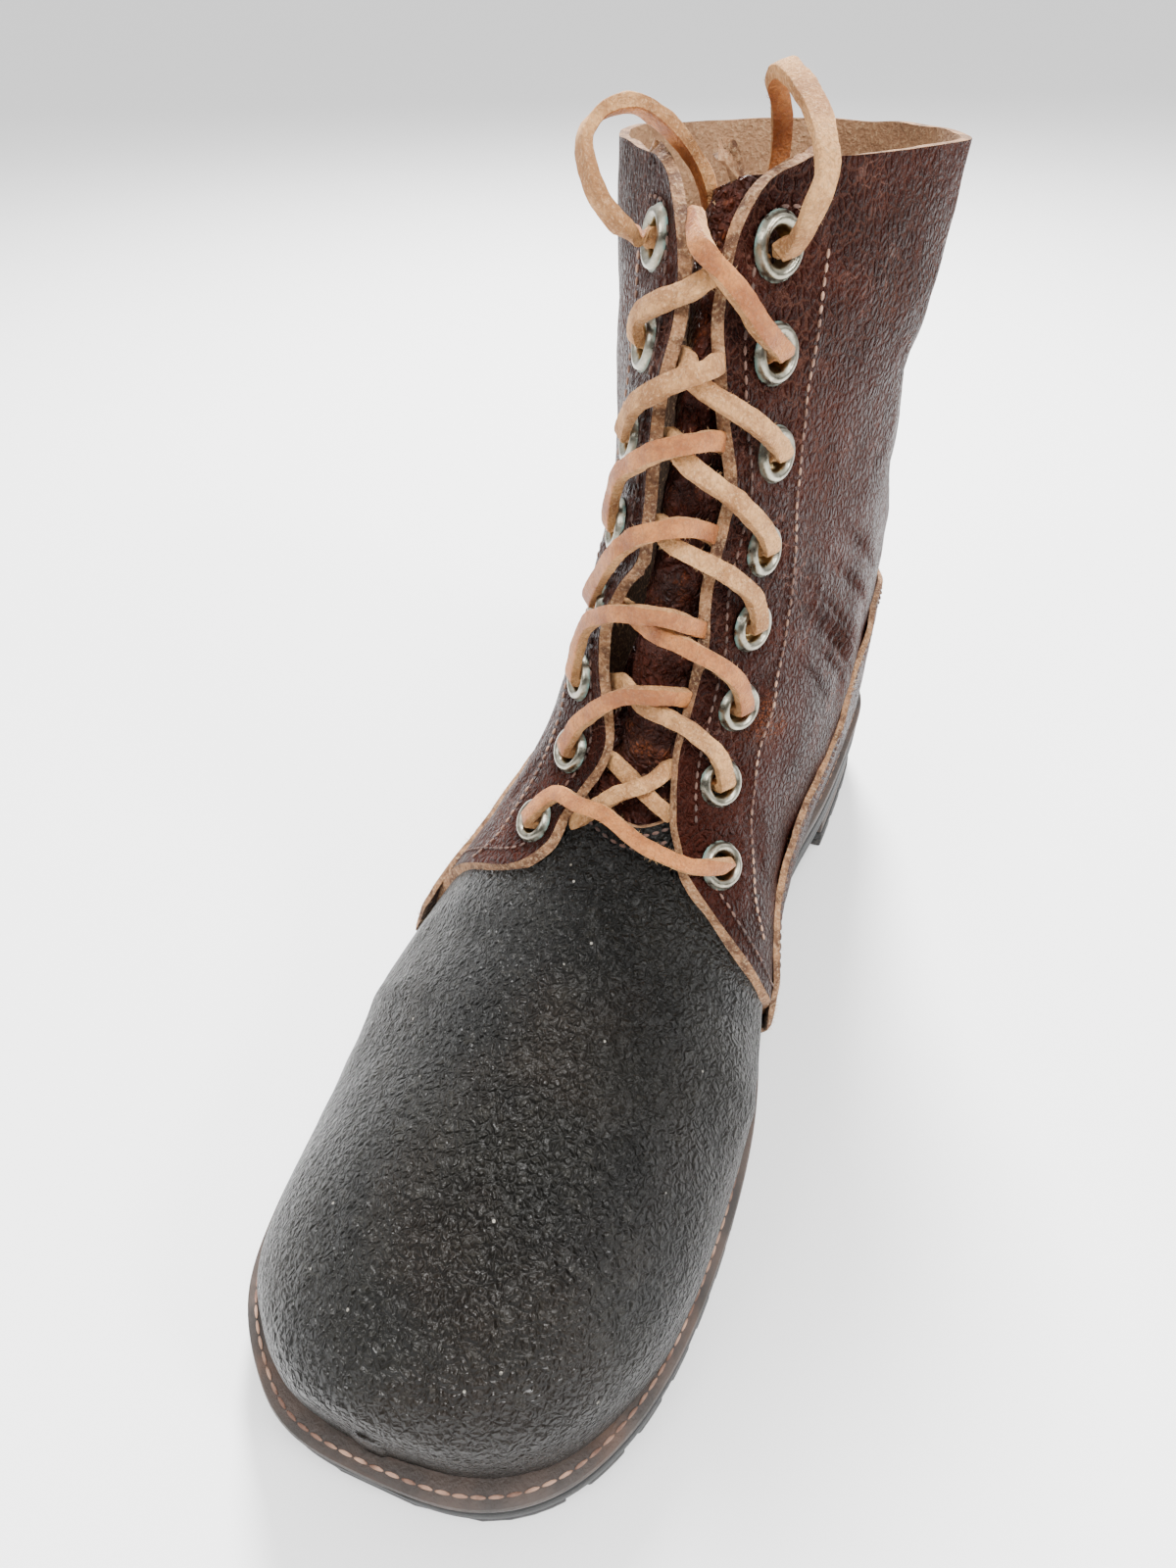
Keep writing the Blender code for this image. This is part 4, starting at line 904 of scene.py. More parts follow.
def past_cap(t):
    """Share of the vamp's length behind the rows that close the toe's tip."""
    return np.clip((t - TOE_CAP) / (1.0 - TOE_CAP), 0.0, 1.0) ** 0.9


def make_vamp():
    """Vamp from the toe to its stitched throat and under the quarters."""
    sizes = bpy.context.scene.boot_sizes

    def places(s, t):
        turn_limit = along_vamp_foot(t)
        turn = (s * 2.0 - 1.0) * turn_limit
        bow = THROAT_BOW * np.cos(turn * THROAT_WAVES) * (np.abs(turn) < 0.098)
        end = THROAT_STATION + 1.1 * smooth((np.abs(turn) - 0.12) / 0.10) - bow
        station = past_cap(t) * end
        points = skin(station, turn, np.full(len(s), -OUTER_STEP))
        height = crease_relief(points, 0, VAMP_CREASES) + 0.0008 * wobble(points, 0.035, 21)
        height = height + 0.00025 * wobble(points, 0.008, 22)
        step = smooth((station - 7.2) / 0.8) * smooth((0.30 - np.abs(turn)) / 0.1)
        height = height + 0.0002 * step
        points = points + last_normals(np.maximum(station, 0.05), turn) * (height * smooth(t / 0.1))[:, None]
        foot = last_surface(station, turn_limit)
        drop = np.maximum(foot[:, 2] - feather(foot[:, 1]) + 0.0008, 0.0)
        points[:, 2] -= drop * np.abs(s * 2.0 - 1.0) ** (2.0 + 10.0 * smooth(station / 0.9))
        close = np.clip(t / TOE_CAP, 0.0, 1.0)
        middle = SECTIONS[0, 2] * BALL_WIDTH
        pinch = np.where(t < TOE_CAP, np.sqrt(np.maximum(close * (2.0 - close), 0.0)), 1.0)
        points[:, 0] = middle + (points[:, 0] - middle) * pinch
        points[:, 1] -= np.where(t < TOE_CAP, 0.0006 * np.cos(close * np.pi / 2), 0.0)
        return points

    bm, shares = grid(sizes.vamp_columns, sizes.vamp_rows, places)
    borders = [(border(bm, shares, 1, 1.0), 0.0006)]
    bmesh.ops.remove_doubles(bm, verts=bm.verts, dist=1e-6)
    thicken(bm, sizes.leather_thickness, borders)
    finish_piece("vamp", bm, ("black", "edge", "flesh"), ("upper",))


def along_vamp_foot(t):
    """Turn of the feather line at a share of the vamp's length."""
    rows = np.array((0.80, 0.699, 0.698, 0.718, 0.736, 0.748, 0.760, 0.774, 0.794, 0.811, 0.800))
    return np.interp(past_cap(t) * 9.6, np.arange(len(rows)), rows)


COUNTER_ROWS = 46


def make_counter():
    """Long outside counter round the heel, laid over the quarters."""
    sizes = bpy.context.scene.boot_sizes

    def places(s, t):
        across = s * 2.0 - 1.0
        side = np.where(across >= 0, 1.0, -1.0)
        share = 1.0 - np.abs(across)
        low = along_edge(COUNTER_FOOT, share)
        high = along_edge(COUNTER_TOP, share)
        spots = low + (high - low) * t[:, None]
        turn = spots[:, 1] * side
        base = OUTER_STEP + sizes.counter_thickness - 0.0003
        points = skin(spots[:, 0], turn, np.full(len(s), base))
        height = crease_relief(points, 0, COUNTER_CREASES) + 0.0006 * wobble(points, 0.020, 31)
        height = height + 0.0003 * wobble(points, 0.007, 32)
        lift = 0.0008 * np.exp(-((1.0 - t) / 0.05) ** 2) * (0.5 + 0.5 * wobble(points, 0.015, 33))
        edge_wave = 0.0008 * wobble(points, 0.010, 34) * smooth((t - 0.93) / 0.07)
        height = (height + lift) * smooth(t / 0.1)
        points = points + last_normals(spots[:, 0], turn) * height[:, None]
        points[:, 2] += edge_wave
        return points

    bm, shares = grid(sizes.counter_columns, COUNTER_ROWS, places)
    flare = sizes.edge_flare * 0.6
    borders = [(border(bm, shares, column, value), flare) for column, value in ((1, 1.0), (0, 0.0), (0, 1.0))]
    bmesh.ops.reverse_faces(bm, faces=bm.faces)
    thicken(bm, sizes.counter_thickness, borders)
    finish_piece(
        "heel_counter_leather", bm, ("brown", "edge", "flesh"), ("heel_counter",),
    )


def turn_after(station, distances):
    """Turns of surface points at distances from the ridge, measured round the last."""
    turns = np.linspace(0.0, 0.9, 241)
    found = np.zeros(len(distances))
    for sign in (1.0, -1.0):
        travelled = lengths_along(last_surface(np.full(len(turns), station), turns * sign))
        on_side = distances * sign >= 0
        found[on_side] = np.interp(np.abs(distances[on_side]), travelled, turns) * sign
    return found


# Bulges of the tongue between the crossings: station and height in millimetres

TONGUE_BULGES = (
    (9.72, 3.0), (11.0, 2.4), (12.6, 3.2), (14.5, 3.0), (15.9, 2.2), (17.0, 1.8), (18.2, 1.2),
)

# Size of the tongue, and how finely its sheet is laid

TONGUE_HALF_WIDTH = 0.021
TONGUE_SHIFT = 0.010
TONGUE_STATIONS = 64
TONGUE_SAMPLES = 25
TONGUE_SOFTENING = 12
TONGUE_COLUMNS = 56
TONGUE_ROWS = 190
TONGUE_START = 7.7
TONGUE_END = 18.86


def tongue_sheet(sizes):
    """Outer face of the tongue as rows of points that can't fold, with its places."""
    rows = []
    for station in np.linspace(TONGUE_START, TONGUE_END, TONGUE_STATIONS):
        sink = float(smooth((station - 8.55) / 2.0))
        near = -0.0042 + 0.0010 * float(smooth((station - 8.0) / 2.5))
        outside = near + (-sizes.tongue_depth - near) * sink
        widen = float(smooth((station - 7.0) / 2.0))
        tip = float(smooth((19.03 - station) / 0.7))
        half = TONGUE_HALF_WIDTH * widen * (0.7 + 0.3 * tip)
        left = (TONGUE_SHIFT - 0.016 * widen * tip) * sink - half
        distances = np.linspace(left, TONGUE_SHIFT * sink + half, TONGUE_SAMPLES)
        turns = turn_after(station, distances)
        face = skin(np.full(TONGUE_SAMPLES, station), turns, np.full(TONGUE_SAMPLES, outside))
        for _ in range(TONGUE_SOFTENING):
            face = face.copy()
            face[1:-1] = (face[:-2] + 2.0 * face[1:-1] + face[2:]) / 4.0
        travelled = lengths_along(face)
        rows.append(read_along(np.linspace(0.0, travelled[-1], TONGUE_COLUMNS + 1), travelled, face))
    places = np.linspace(0.0, TONGUE_STATIONS - 1.0, TONGUE_ROWS + 1)
    sheet = spline(np.array(rows).reshape(TONGUE_STATIONS, -1), places).reshape(TONGUE_ROWS + 1, -1, 3)
    outward = np.cross(np.gradient(sheet, axis=1), np.gradient(sheet, axis=0))
    outward = outward / np.linalg.norm(outward, axis=2, keepdims=True)
    return sheet, outward


def make_tongue():
    """Tongue behind the facings, swollen between the crossings of the lace."""
    sizes = bpy.context.scene.boot_sizes
    sheet, outward = tongue_sheet(sizes)

    def places(s, t):
        column = np.round(s * TONGUE_COLUMNS).astype(int)
        row = np.round(t * TONGUE_ROWS).astype(int)
        points = sheet[row, column]
        station = TONGUE_START + t * (TONGUE_END - TONGUE_START)
        across = (s * 2.0 - 1.0) * 0.0290 + 0.0020
        height = np.zeros(len(s))
        for place, rise in TONGUE_BULGES:
            high = np.exp(-(np.abs(station - place) / 0.62) ** 2.6)
            wide = np.exp(-(np.abs(across - 0.004) / 0.0110) ** 3.0)
            height = height + rise * 0.001 * high * wide
        height = height - 0.0050 * smooth((-0.0095 - across) / 0.0060) * smooth((station - 8.8) / 1.5)
        height = height + 0.0008 * wobble(points, 0.010, 41) + 0.0004 * wobble(points, 0.004, 42)
        lift = outward[row, column] * (height * smooth(t / 0.08))[:, None]
        return points + lift

    bm, shares = grid(TONGUE_COLUMNS, TONGUE_ROWS, places)
    thicken(bm, sizes.tongue_thickness, [(border(bm, shares, 1, 1.0), 0.0004)])
    finish_piece("tongue_leather", bm, ("tongue", "edge", "flesh"), ("tongue",))


def eyelet_matrix(centre, normal):
    """Matrix whose Z axis leaves the leather, where the boot stands."""
    return Matrix.Translation(Vector(settle(centre))) @ toward(settle_directions(normal))


def make_eyelets():
    """Rolled metal ring with its barrel, one for each solid."""
    sizes = bpy.context.scene.boot_sizes
    hole = sizes.eyelet_hole / 2
    outer = sizes.eyelet_outer / 2
    crown = (hole + outer) / 2
    seat = -0.0004
    profile = (
        (hole - 0.0001, -0.0034, 0.0), (hole - 0.0001, -0.0012, 0.05), (hole, seat + 0.0007, 0.15),
        (hole + 0.00035, seat + 0.00135, 0.35), (crown - 0.0005, seat + 0.0018, 0.45),
        (crown, seat + 0.0019, 0.50), (crown + 0.0006, seat + 0.0017, 0.58),
        (outer - 0.0006, seat + 0.0011, 0.72), (outer - 0.0001, seat + 0.0005, 0.9),
        (outer, seat + 0.0001, 1.0), (outer - 0.0004, seat - 0.0002, 1.0),
        (hole + 0.0008, seat - 0.0002, 0.9), (hole + 0.0007, -0.0034, 0.0),
    )
    for centre, normal, label, number, _ in eyelet_places():
        bm = bmesh.new()
        rim = bm.verts.layers.float.new("rim")
        verts = []
        for radius, height, share in profile:
            vert = bm.verts.new((radius, 0.0, height))
            vert[rim] = share
            verts.append(vert)
        edges = [bm.edges.new((verts[k], verts[(k + 1) % len(verts)])) for k in range(len(verts))]
        bmesh.ops.spin(
            bm, geom=verts + edges, cent=(0, 0, 0), axis=(0, 0, 1), angle=math.tau, steps=40, use_merge=True,
        )
        bmesh.ops.remove_doubles(bm, verts=bm.verts, dist=1e-7)
        squeeze = 0.02 * math.sin(number * 2.1)
        squash = Matrix.Diagonal((1.0 + squeeze, 1.0 - squeeze, 1.0, 1.0))
        tilt = Matrix.Rotation(math.radians(2.0) * math.sin(number * 1.7), 4, "X")
        bmesh.ops.transform(bm, matrix=eyelet_matrix(centre, normal) @ tilt @ squash, verts=bm.verts)
        bmesh.ops.recalc_face_normals(bm, faces=bm.faces)
        node = "eyelet_%s_%d" % (label, number)
        finish_piece(node + "_ring", bm, ("eyelet",), (node,), SMALL_SHARP)


LACE_PATHS = []
LACE_SHARP = 38.0
STRAP_SIDES = 12
STRAP_SQUARENESS = 0.26

# Strands whose smooth grain side faces outwards: crossing and side

GRAIN_OUT = {(0, -1), (2, -1), (3, -1), (3, 1), (5, -1), (4, -1), (7, 1)}


def strap(bm, path, faces, width, thickness, grain_out, seed):
    """Flat rawhide strap along a path; one of its wide faces is the smooth orange grain."""
    LACE_PATHS.append((path, faces))
    count = len(path)
    part = bmesh.new()
    bmesh.ops.create_grid(part, x_segments=count - 1, y_segments=STRAP_SIDES, size=0.5)
    shares = np.array([vert.co[:2] for vert in part.verts]) + 0.5
    ahead = np.gradient(path, axis=0)
    ahead /= np.linalg.norm(ahead, axis=1, keepdims=True)
    up = faces - ahead * (faces * ahead).sum(axis=1, keepdims=True)
    up /= np.linalg.norm(up, axis=1, keepdims=True)
    across = np.cross(ahead, up)
    rows = np.round(shares[:, 0] * (count - 1)).astype(int)
    angle = shares[:, 1] * math.tau
    cosine = np.cos(angle)
    sine = np.sin(angle)
    wide = np.sign(cosine) * np.abs(cosine) ** STRAP_SQUARENESS * width / 2
    deep = np.sign(sine) * np.abs(sine) ** STRAP_SQUARENESS * thickness / 2
    places = path[rows] + across[rows] * wide[:, None] + up[rows] * deep[:, None]
    ripple = wobble(places, 0.0050, seed) * 0.00034 + wobble(places, 0.0015, seed + 1) * 0.00013
    outward = across[rows] * cosine[:, None] + up[rows] * sine[:, None]
    places = places + outward * ripple[:, None]
    for vert, place in zip(part.verts, places):
        vert.co = place
    bmesh.ops.remove_doubles(part, verts=part.verts, dist=1e-6)
    ends = [edge for edge in part.edges if len(edge.link_faces) == 1]
    bmesh.ops.holes_fill(part, edges=ends, sides=0)
    bmesh.ops.recalc_face_normals(part, faces=part.faces)
    grain = 1.0 if grain_out else -1.0
    part.normal_update()
    line = [Vector(point) for point in path]
    ups = [Vector(direction) for direction in up]
    step = max(1, count // 40)
    for face in part.faces:
        middle = face.calc_center_median()
        nearest = min(range(0, count, step), key=lambda k: (line[k] - middle).length_squared)
        face.material_index = 1 if face.normal.dot(ups[nearest]) * grain > 0.62 else 0
    join_into(bm, part)


def dense_path(points, directions, count):
    """Evenly spaced places and face directions on a smooth curve through points."""
    rows = np.hstack([np.array(points), np.array(directions)])
    fine = spline(rows, np.linspace(0.0, len(rows) - 1, 600))
    travelled = lengths_along(fine[:, :3])
    even = read_along(np.linspace(0.0, travelled[-1], count), travelled, fine)
    return even[:, :3], even[:, 3:]


def in_hole(row, side, depth):
    """Place on an eyelet's axis and its normal."""
    turn = row[1] if side == 1 else -row[2]
    normal = last_normals(row[0], turn)
    return skin(row[0], turn, OUTER_STEP) + normal * depth, normal


def course_points(course):
    """Places and face directions of rows of station, turn and lift in millimetres."""
    points = []
    directions = []
    for station, turn, lift in course:
        points.append(skin(station, turn, lift * 0.001))
        directions.append(last_normals(station, turn))
    return points, directions


def strand_path(row_from, side_from, course, row_to, side_to):
    """Path of a strand out of one eyelet, over the gap and under to the next one."""
    points = []
    directions = []
    tilt = np.array((0.35 * -side_from, 0.0, 0.0))
    for depth in (-0.0040, -0.0008, 0.0020):
        place = in_hole(row_from, side_from, depth)[0]
        lean = np.array((side_from * 0.9, -0.3, -0.6) if depth < 0.001 else (side_from * 0.7, -0.6, -0.2))
        points.append(place + np.array((0.0, 0.0, 0.0006)) * (depth > 0))
        directions.append(lean / np.linalg.norm(lean))
    middle, faces = course_points(course)
    points += middle
    directions += [face + tilt * 0.2 for face in faces]
    turn_to = row_to[1] if side_to == 1 else -row_to[2]
    under = skin(row_to[0] - 0.12, turn_to * 0.92, -0.0048)
    points.append(under)
    directions.append(last_normals(row_to[0], turn_to))
    place, normal = in_hole(row_to, side_to, -0.0046)
    points.append(place)
    directions.append(normal)
    return points, directions


def make_laces():
    """Rawhide lace through the eyelets: the bar and seven crossings."""
    sizes = bpy.context.scene.boot_sizes
    width = sizes.lace_width
    thick = sizes.lace_thickness
    points = []
    directions = []
    for depth in (-0.0045, -0.0005, 0.0022):
        points.append(in_hole(EYELETS[0], -1, depth)[0])
        directions.append(np.array((-0.8, -0.4, -0.3)))
    middle, faces = course_points(BAR_COURSE)
    points += middle
    directions += faces
    for depth in (0.0020, -0.0005, -0.0045):
        points.append(in_hole(EYELETS[0], 1, depth)[0])
        directions.append(np.array((0.7, -0.5, -0.2)))
    bm = bmesh.new()
    path, up = dense_path(points, directions, 90)
    strap(bm, settle(path), settle_directions(up), width, thick, (0, -1) in GRAIN_OUT, 51)
    finish_piece("lace_bar_strap", bm, ("lace_suede", "lace_grain"), ("lace_bar",), LACE_SHARP)
    for number in range(1, 8):
        low = EYELETS[number - 1]
        high = EYELETS[number]
        bm = bmesh.new()
        if number == 1:
            strands = ((-1, INNER_COURSES[0]), (1, INNER_COURSES[1]))
        else:
            strands = ((-1, LATERAL_COURSES[number - 2]), (1, MEDIAL_COURSES[number - 2]))
        for side, course in strands:
            if number == 1:
                start, face = in_hole(low, side, -0.0046)
                middle, faces = course_points(course)
                end, end_face = in_hole(high, -side, -0.0046)
                points = [start] + middle + [end]
                directions = [face] + faces + [end_face]
            else:
                points, directions = strand_path(low, side, course, high, -side)
            path, up = dense_path(points, directions, 110)
            grain_out = (number, side) in GRAIN_OUT
            strap(bm, settle(path), settle_directions(up), width, thick, grain_out, 60 + number * 2 + side)
        node = "lace_cross_%d" % number
        finish_piece(node + "_strands", bm, ("lace_suede", "lace_grain"), (node,), LACE_SHARP)


def make_loops():
    """Two loose loops from the top eyelets over the collar and back into the boot."""
    sizes = bpy.context.scene.boot_sizes
    for label, side in (("lateral", -1), ("medial", 1)):
        start, normal = in_hole(EYELETS[-1], side, 0.0)
        second, _ = in_hole(EYELETS[-1], side, 0.0045)
        points = [tuple(start), tuple(second)] + list(LOOPS[label])
        rows = np.array(points)
        centre = rows[2:].mean(axis=0)
        directions = [normal, normal * 0.5 + (rows[1] - centre) * 20.0]
        for point in rows[2:]:
            away = point - centre
            directions.append(away / np.linalg.norm(away))
        path, up = dense_path(points, directions, 90)
        path = settle(path)
        bm = bmesh.new()
        strap(bm, path, settle_directions(up), sizes.lace_width, sizes.lace_thickness, False, 80 + side)
        node = "lace_loop_" + label
        piece = finish_piece(node + "_strap", bm, ("lace_suede", "lace_grain"), (node,), LACE_SHARP)


# Sole: steps of its outline, lugs and roundings, lengths in metres

OUTLINE_STEPS = 360
END_MARGIN = 0.0002
SOLE_SHARP = 35.0
LUG_PITCH = 0.0125
GROOVE_HALF = 0.002
LUG_BEVEL = 0.0006
LIFT_BEVEL = 0.0005

# How far each layer of the sole spreads past the last

MIDSOLE_SPREAD = 0.0040
RUBBER_SPREAD = 0.0044
HEEL_SPREAD = 0.0038
LIFT_STEP = 0.0002

# Levels of the layers over the feather line, and of the heel's over the floor

MIDSOLE_TOP = -0.0033
MIDSOLE_THICKNESS = 0.0031
OUTSOLE_TOP = -0.0067
LAYER_GAP = 0.0003
LIFT_COUNT = 3
LIFT_GAP = 0.00012
LIFTS_BOTTOM = 0.0068
TOP_PIECE_TOP = 0.0065
LAND_TOP = 0.0031
GROOVE_ROOF = 0.0030


def resample(points, count):
    """Closed outline at equal steps."""
    closed = np.vstack([points, points[:1]])
    travelled = lengths_along(closed)
    return read_along(np.linspace(0.0, travelled[-1], count, endpoint=False), travelled, closed)


@functools.cache
def plan_outline():
    """Outline of the last at the feather line, in plan, and its outward directions."""
    medial = []
    lateral = []
    shares = np.linspace(0.35, 1.0, 160)
    for station in np.linspace(0.3, 15.0, 220):
        for side, found in ((1.0, medial), (-1.0, lateral)):
            turns = shares * side
            turns[-1] = side * 0.9999
            points = last_surface(np.full(len(turns), station), turns)
            over = points[:, 2] - feather(points[:, 1])
            below = np.nonzero((over[:-1] > 0) & (over[1:] <= 0))[0]
            if len(below):
                k = below[-1]
                part = over[k] / (over[k] - over[k + 1])
                found.append(points[k, :2] + (points[k + 1, :2] - points[k, :2]) * part)
    outline = resample(np.array(medial + lateral[::-1]), OUTLINE_STEPS)
    for _ in range(4):
        outline = (np.roll(outline, 1, axis=0) + 2 * outline + np.roll(outline, -1, axis=0)) / 4
    ahead = np.roll(outline, -1, axis=0) - np.roll(outline, 1, axis=0)
    ahead /= np.linalg.norm(ahead, axis=1, keepdims=True)
    outward = np.stack([ahead[:, 1], -ahead[:, 0]], axis=1)
    return outline, outward


def outline_at(spread):
    """Plan outline spread outwards, from the toe round the medial side."""
    outline, outward = plan_outline()
    return outline + outward * spread


def band(name, profile, material, node):
    """Closed ring round the boot from a profile of spread and height over the feather line."""
    rows = len(profile)
    bm = bmesh.new()
    bmesh.ops.create_grid(bm, x_segments=OUTLINE_STEPS, y_segments=rows, size=0.5)
    shares = np.array([vert.co[:2] for vert in bm.verts]) + 0.5
    places = np.zeros((len(shares), 3))
    columns = np.round(shares[:, 0] * OUTLINE_STEPS).astype(int) % OUTLINE_STEPS
    levels = np.round(shares[:, 1] * rows).astype(int) % rows
    for level, (spread, drop) in enumerate(profile):
        chosen = levels == level
        xy = outline_at(spread)[columns[chosen]]
        places[chosen] = np.column_stack([xy, feather(xy[:, 1]) + drop])
    for vert, place in zip(bm.verts, settle(places)):
        vert.co = place
    bmesh.ops.remove_doubles(bm, verts=bm.verts, dist=1e-7)
    bmesh.ops.recalc_face_normals(bm, faces=bm.faces)
    finish_piece(name, bm, (material,), (node,), SOLE_SHARP)


def edges_at(outline, places):
    """Sideways places of the medial and lateral edges of an outline along the boot."""
    toe = int(np.argmin(outline[:, 1]))
    turned = np.roll(outline, -toe, axis=0)
    heel = int(np.argmax(turned[:, 1]))
    one = turned[: heel + 1]
    other = np.vstack([turned[heel:], turned[:1]])[::-1]
    first = np.interp(places, one[:, 1], one[:, 0])
    second = np.interp(places, other[:, 1], other[:, 0])
    return np.maximum(first, second), np.minimum(first, second)


def slab_into(bm, outline, low, high, top, bottom, columns, rows, finer_ends=False):
    """Add a layer between two places along the boot, with a grid above and below."""
    part = bmesh.new()
    bmesh.ops.create_cube(part, size=1.0)
    lengthwise = [edge for edge in part.edges if abs(edge.verts[0].co.y - edge.verts[1].co.y) > 0.5]
    bmesh.ops.subdivide_edges(part, edges=lengthwise, cuts=rows, use_grid_fill=True)
    sideways = [edge for edge in part.edges if abs(edge.verts[0].co.x - edge.verts[1].co.x) > 0.5]
    bmesh.ops.subdivide_edges(part, edges=sideways, cuts=columns, use_grid_fill=True)
    co = np.array([vert.co[:] for vert in part.verts]) + 0.5
    share = (1.0 - np.cos(co[:, 1] * np.pi)) / 2 if finer_ends else co[:, 1]
    y = low + (high - low) * share
    medial, lateral = edges_at(outline, y)
    x = lateral + (medial - lateral) * co[:, 0]
    z = np.where(co[:, 2] > 0.5, top(y), bottom(y))
    for vert, place in zip(part.verts, settle(np.column_stack([x, y, z]))):
        vert.co = place
    bmesh.ops.remove_doubles(part, verts=part.verts, dist=1e-6)
    join_into(bm, part)


def ends_of(outline):
    """Toe and heel ends of an outline along the boot, just inside its tips."""
    return outline[:, 1].min() + END_MARGIN, outline[:, 1].max() - END_MARGIN


def bevel_hard(bm, offset):
    """Round every edge where two faces meet at more than 50 degrees."""
    bm.normal_update()
    hard = []
    for edge in bm.edges:
        if len(edge.link_faces) == 2 and edge.calc_face_angle(0.0) > math.radians(50):
            hard.append(edge)
    bmesh.ops.bevel(bm, geom=hard, offset=offset, segments=2, profile=0.5, affect="EDGES", material=-1)


def make_welt():
    """Welt with a rounded edge round the whole boot."""
    profile = (
        (-0.0030, 0.0), (0.0005, 0.0), (0.0036, 0.0), (0.0043, -0.0004),
        (0.0046, -0.0012), (0.0045, -0.0022), (0.0040, -0.0028), (-0.0030, -0.0028),
    )
    band("welt_strip", profile, "welt", "welt")


def make_midsole():
    """Midsole edge under the welt."""
    sizes = bpy.context.scene.boot_sizes
    outline = outline_at(MIDSOLE_SPREAD)
    low, high = ends_of(outline)

    def top(y):
        return feather(y) + MIDSOLE_TOP

    bm = bmesh.new()
    slab_into(bm, outline, low, high, top, lambda y: top(y) - MIDSOLE_THICKNESS, 6, 120, True)
    bevel_hard(bm, sizes.edge_round)
    bmesh.ops.recalc_face_normals(bm, faces=bm.faces)
    finish_piece("midsole_layer", bm, ("welt",), ("midsole",), SOLE_SHARP)


def lands_between(low, high, grooves):
    """Start and end of each raised part between grooves."""
    marks = [low]
    for groove in grooves:
        marks += [groove - GROOVE_HALF, groove + GROOVE_HALF]
    marks.append(high)
    return zip(marks[0::2], marks[1::2])


def make_outsole():
    """Rubber outsole with cross lugs under the forepart."""
    sizes = bpy.context.scene.boot_sizes
    outline = outline_at(RUBBER_SPREAD)
    low, high = ends_of(outline)
    bm = bmesh.new()

    def top(y):
        return feather(y) + OUTSOLE_TOP

    def tread(y):
        return feather(y) - FOREPART_HEIGHT

    slab_into(bm, outline, low, high, top, lambda y: tread(y) + sizes.lug_depth * 0.98, 8, 140, True)
    bevel_hard(bm, sizes.edge_round)
    grooves = np.arange(-0.445, 0.03, LUG_PITCH / LAST_LENGTH) * LAST_LENGTH
    for start, stop in lands_between(low, high, grooves):
        if stop - start < 0.001:
            continue
        one = bmesh.new()
        rows = 90 if stop == high else 4
        slab_into(one, outline, start, stop, lambda y: tread(y) + sizes.lug_depth, tread, 6, rows)
        bevel_hard(one, LUG_BEVEL)
        join_into(bm, one)
    bmesh.ops.recalc_face_normals(bm, faces=bm.faces)
    finish_piece("outsole_rubber", bm, ("rubber",), ("outsole",), SOLE_SHARP)


def make_heel():
    """Heel block with its lifts and the grooved top piece."""
    sizes = bpy.context.scene.boot_sizes
    breast = HEEL_BREAST * LAST_LENGTH
    high = ends_of(outline_at(HEEL_SPREAD))[1]
    bm = bmesh.new()

    def under(y):
        return feather(y) - FOREPART_HEIGHT - LAYER_GAP

    for lift in range(LIFT_COUNT):
        def top(y, lift=lift):
            return LIFTS_BOTTOM + (under(y) - LIFTS_BOTTOM) * (lift + 1) / LIFT_COUNT

        def bottom(y, lift=lift):
            return LIFTS_BOTTOM + (under(y) - LIFTS_BOTTOM) * (lift / LIFT_COUNT) + LIFT_GAP

        one = bmesh.new()
        lift_outline = outline_at(HEEL_SPREAD - LIFT_STEP * (lift % 2))
        slab_into(one, lift_outline, breast, high, top, bottom, 6, 60)
        bevel_hard(one, LIFT_BEVEL)
        join_into(bm, one)
    bmesh.ops.recalc_face_normals(bm, faces=bm.faces)
    finish_piece("heel_lifts", bm, ("welt",), ("heel_block",), SOLE_SHARP)
    outline = outline_at(RUBBER_SPREAD)
    bm = bmesh.new()
    slab_into(
        bm, outline, breast, high, lambda y: y * 0 + TOP_PIECE_TOP, lambda y: y * 0 + GROOVE_ROOF, 6, 60,
    )
    bevel_hard(bm, sizes.edge_round)
    grooves = [breast + LUG_PITCH * (1.2 + 1.3 * count) for count in range(3)]
    for start, stop in lands_between(breast, high, grooves):
        one = bmesh.new()
        slab_into(one, outline, start, stop, lambda y: y * 0 + LAND_TOP, lambda y: y * 0.0, 6, 16)
        bevel_hard(one, LUG_BEVEL)
        join_into(bm, one)
    bmesh.ops.recalc_face_normals(bm, faces=bm.faces)
    finish_piece("heel_top_rubber", bm, ("rubber",), ("heel_top_piece",), SOLE_SHARP)


# Stitches, as pitch and thickness in metres, and fibres

DARK_STITCH = (0.0027, 0.0008)
STAY_STITCH = (0.0025, 0.0009)
THROAT_STITCH = (0.0026, 0.0009)
WELT_STITCH = (0.0036, 0.0008)
STITCH_SHARE = 0.72
WELT_STITCH_SHARE = 0.92
WELT_STITCH_SPREAD = 0.0024
SEAM_INSET = 0.0046
COUNTER_INSETS = (0.0034, 0.0060)
LEATHER_REACH = 0.008


def surface_tree(names):
    """Search tree over finished pieces."""
    bm = bmesh.new()
    for name in names:
        bm.from_mesh(bpy.data.objects[name].data)
    tree = BVHTree.FromBMesh(bm)
    bm.free()
    return tree


def on_leather(tree, place, face):
    """Nearest place on the leather along a face direction, or None."""
    start = Vector(place) + Vector(face) * LEATHER_REACH
    hit, normal, _, _ = tree.ray_cast(start, -Vector(face), LEATHER_REACH * 2.0)
    if hit is None:
        return None
    return hit, normal if normal.dot(Vector(face)) > 0 else -normal


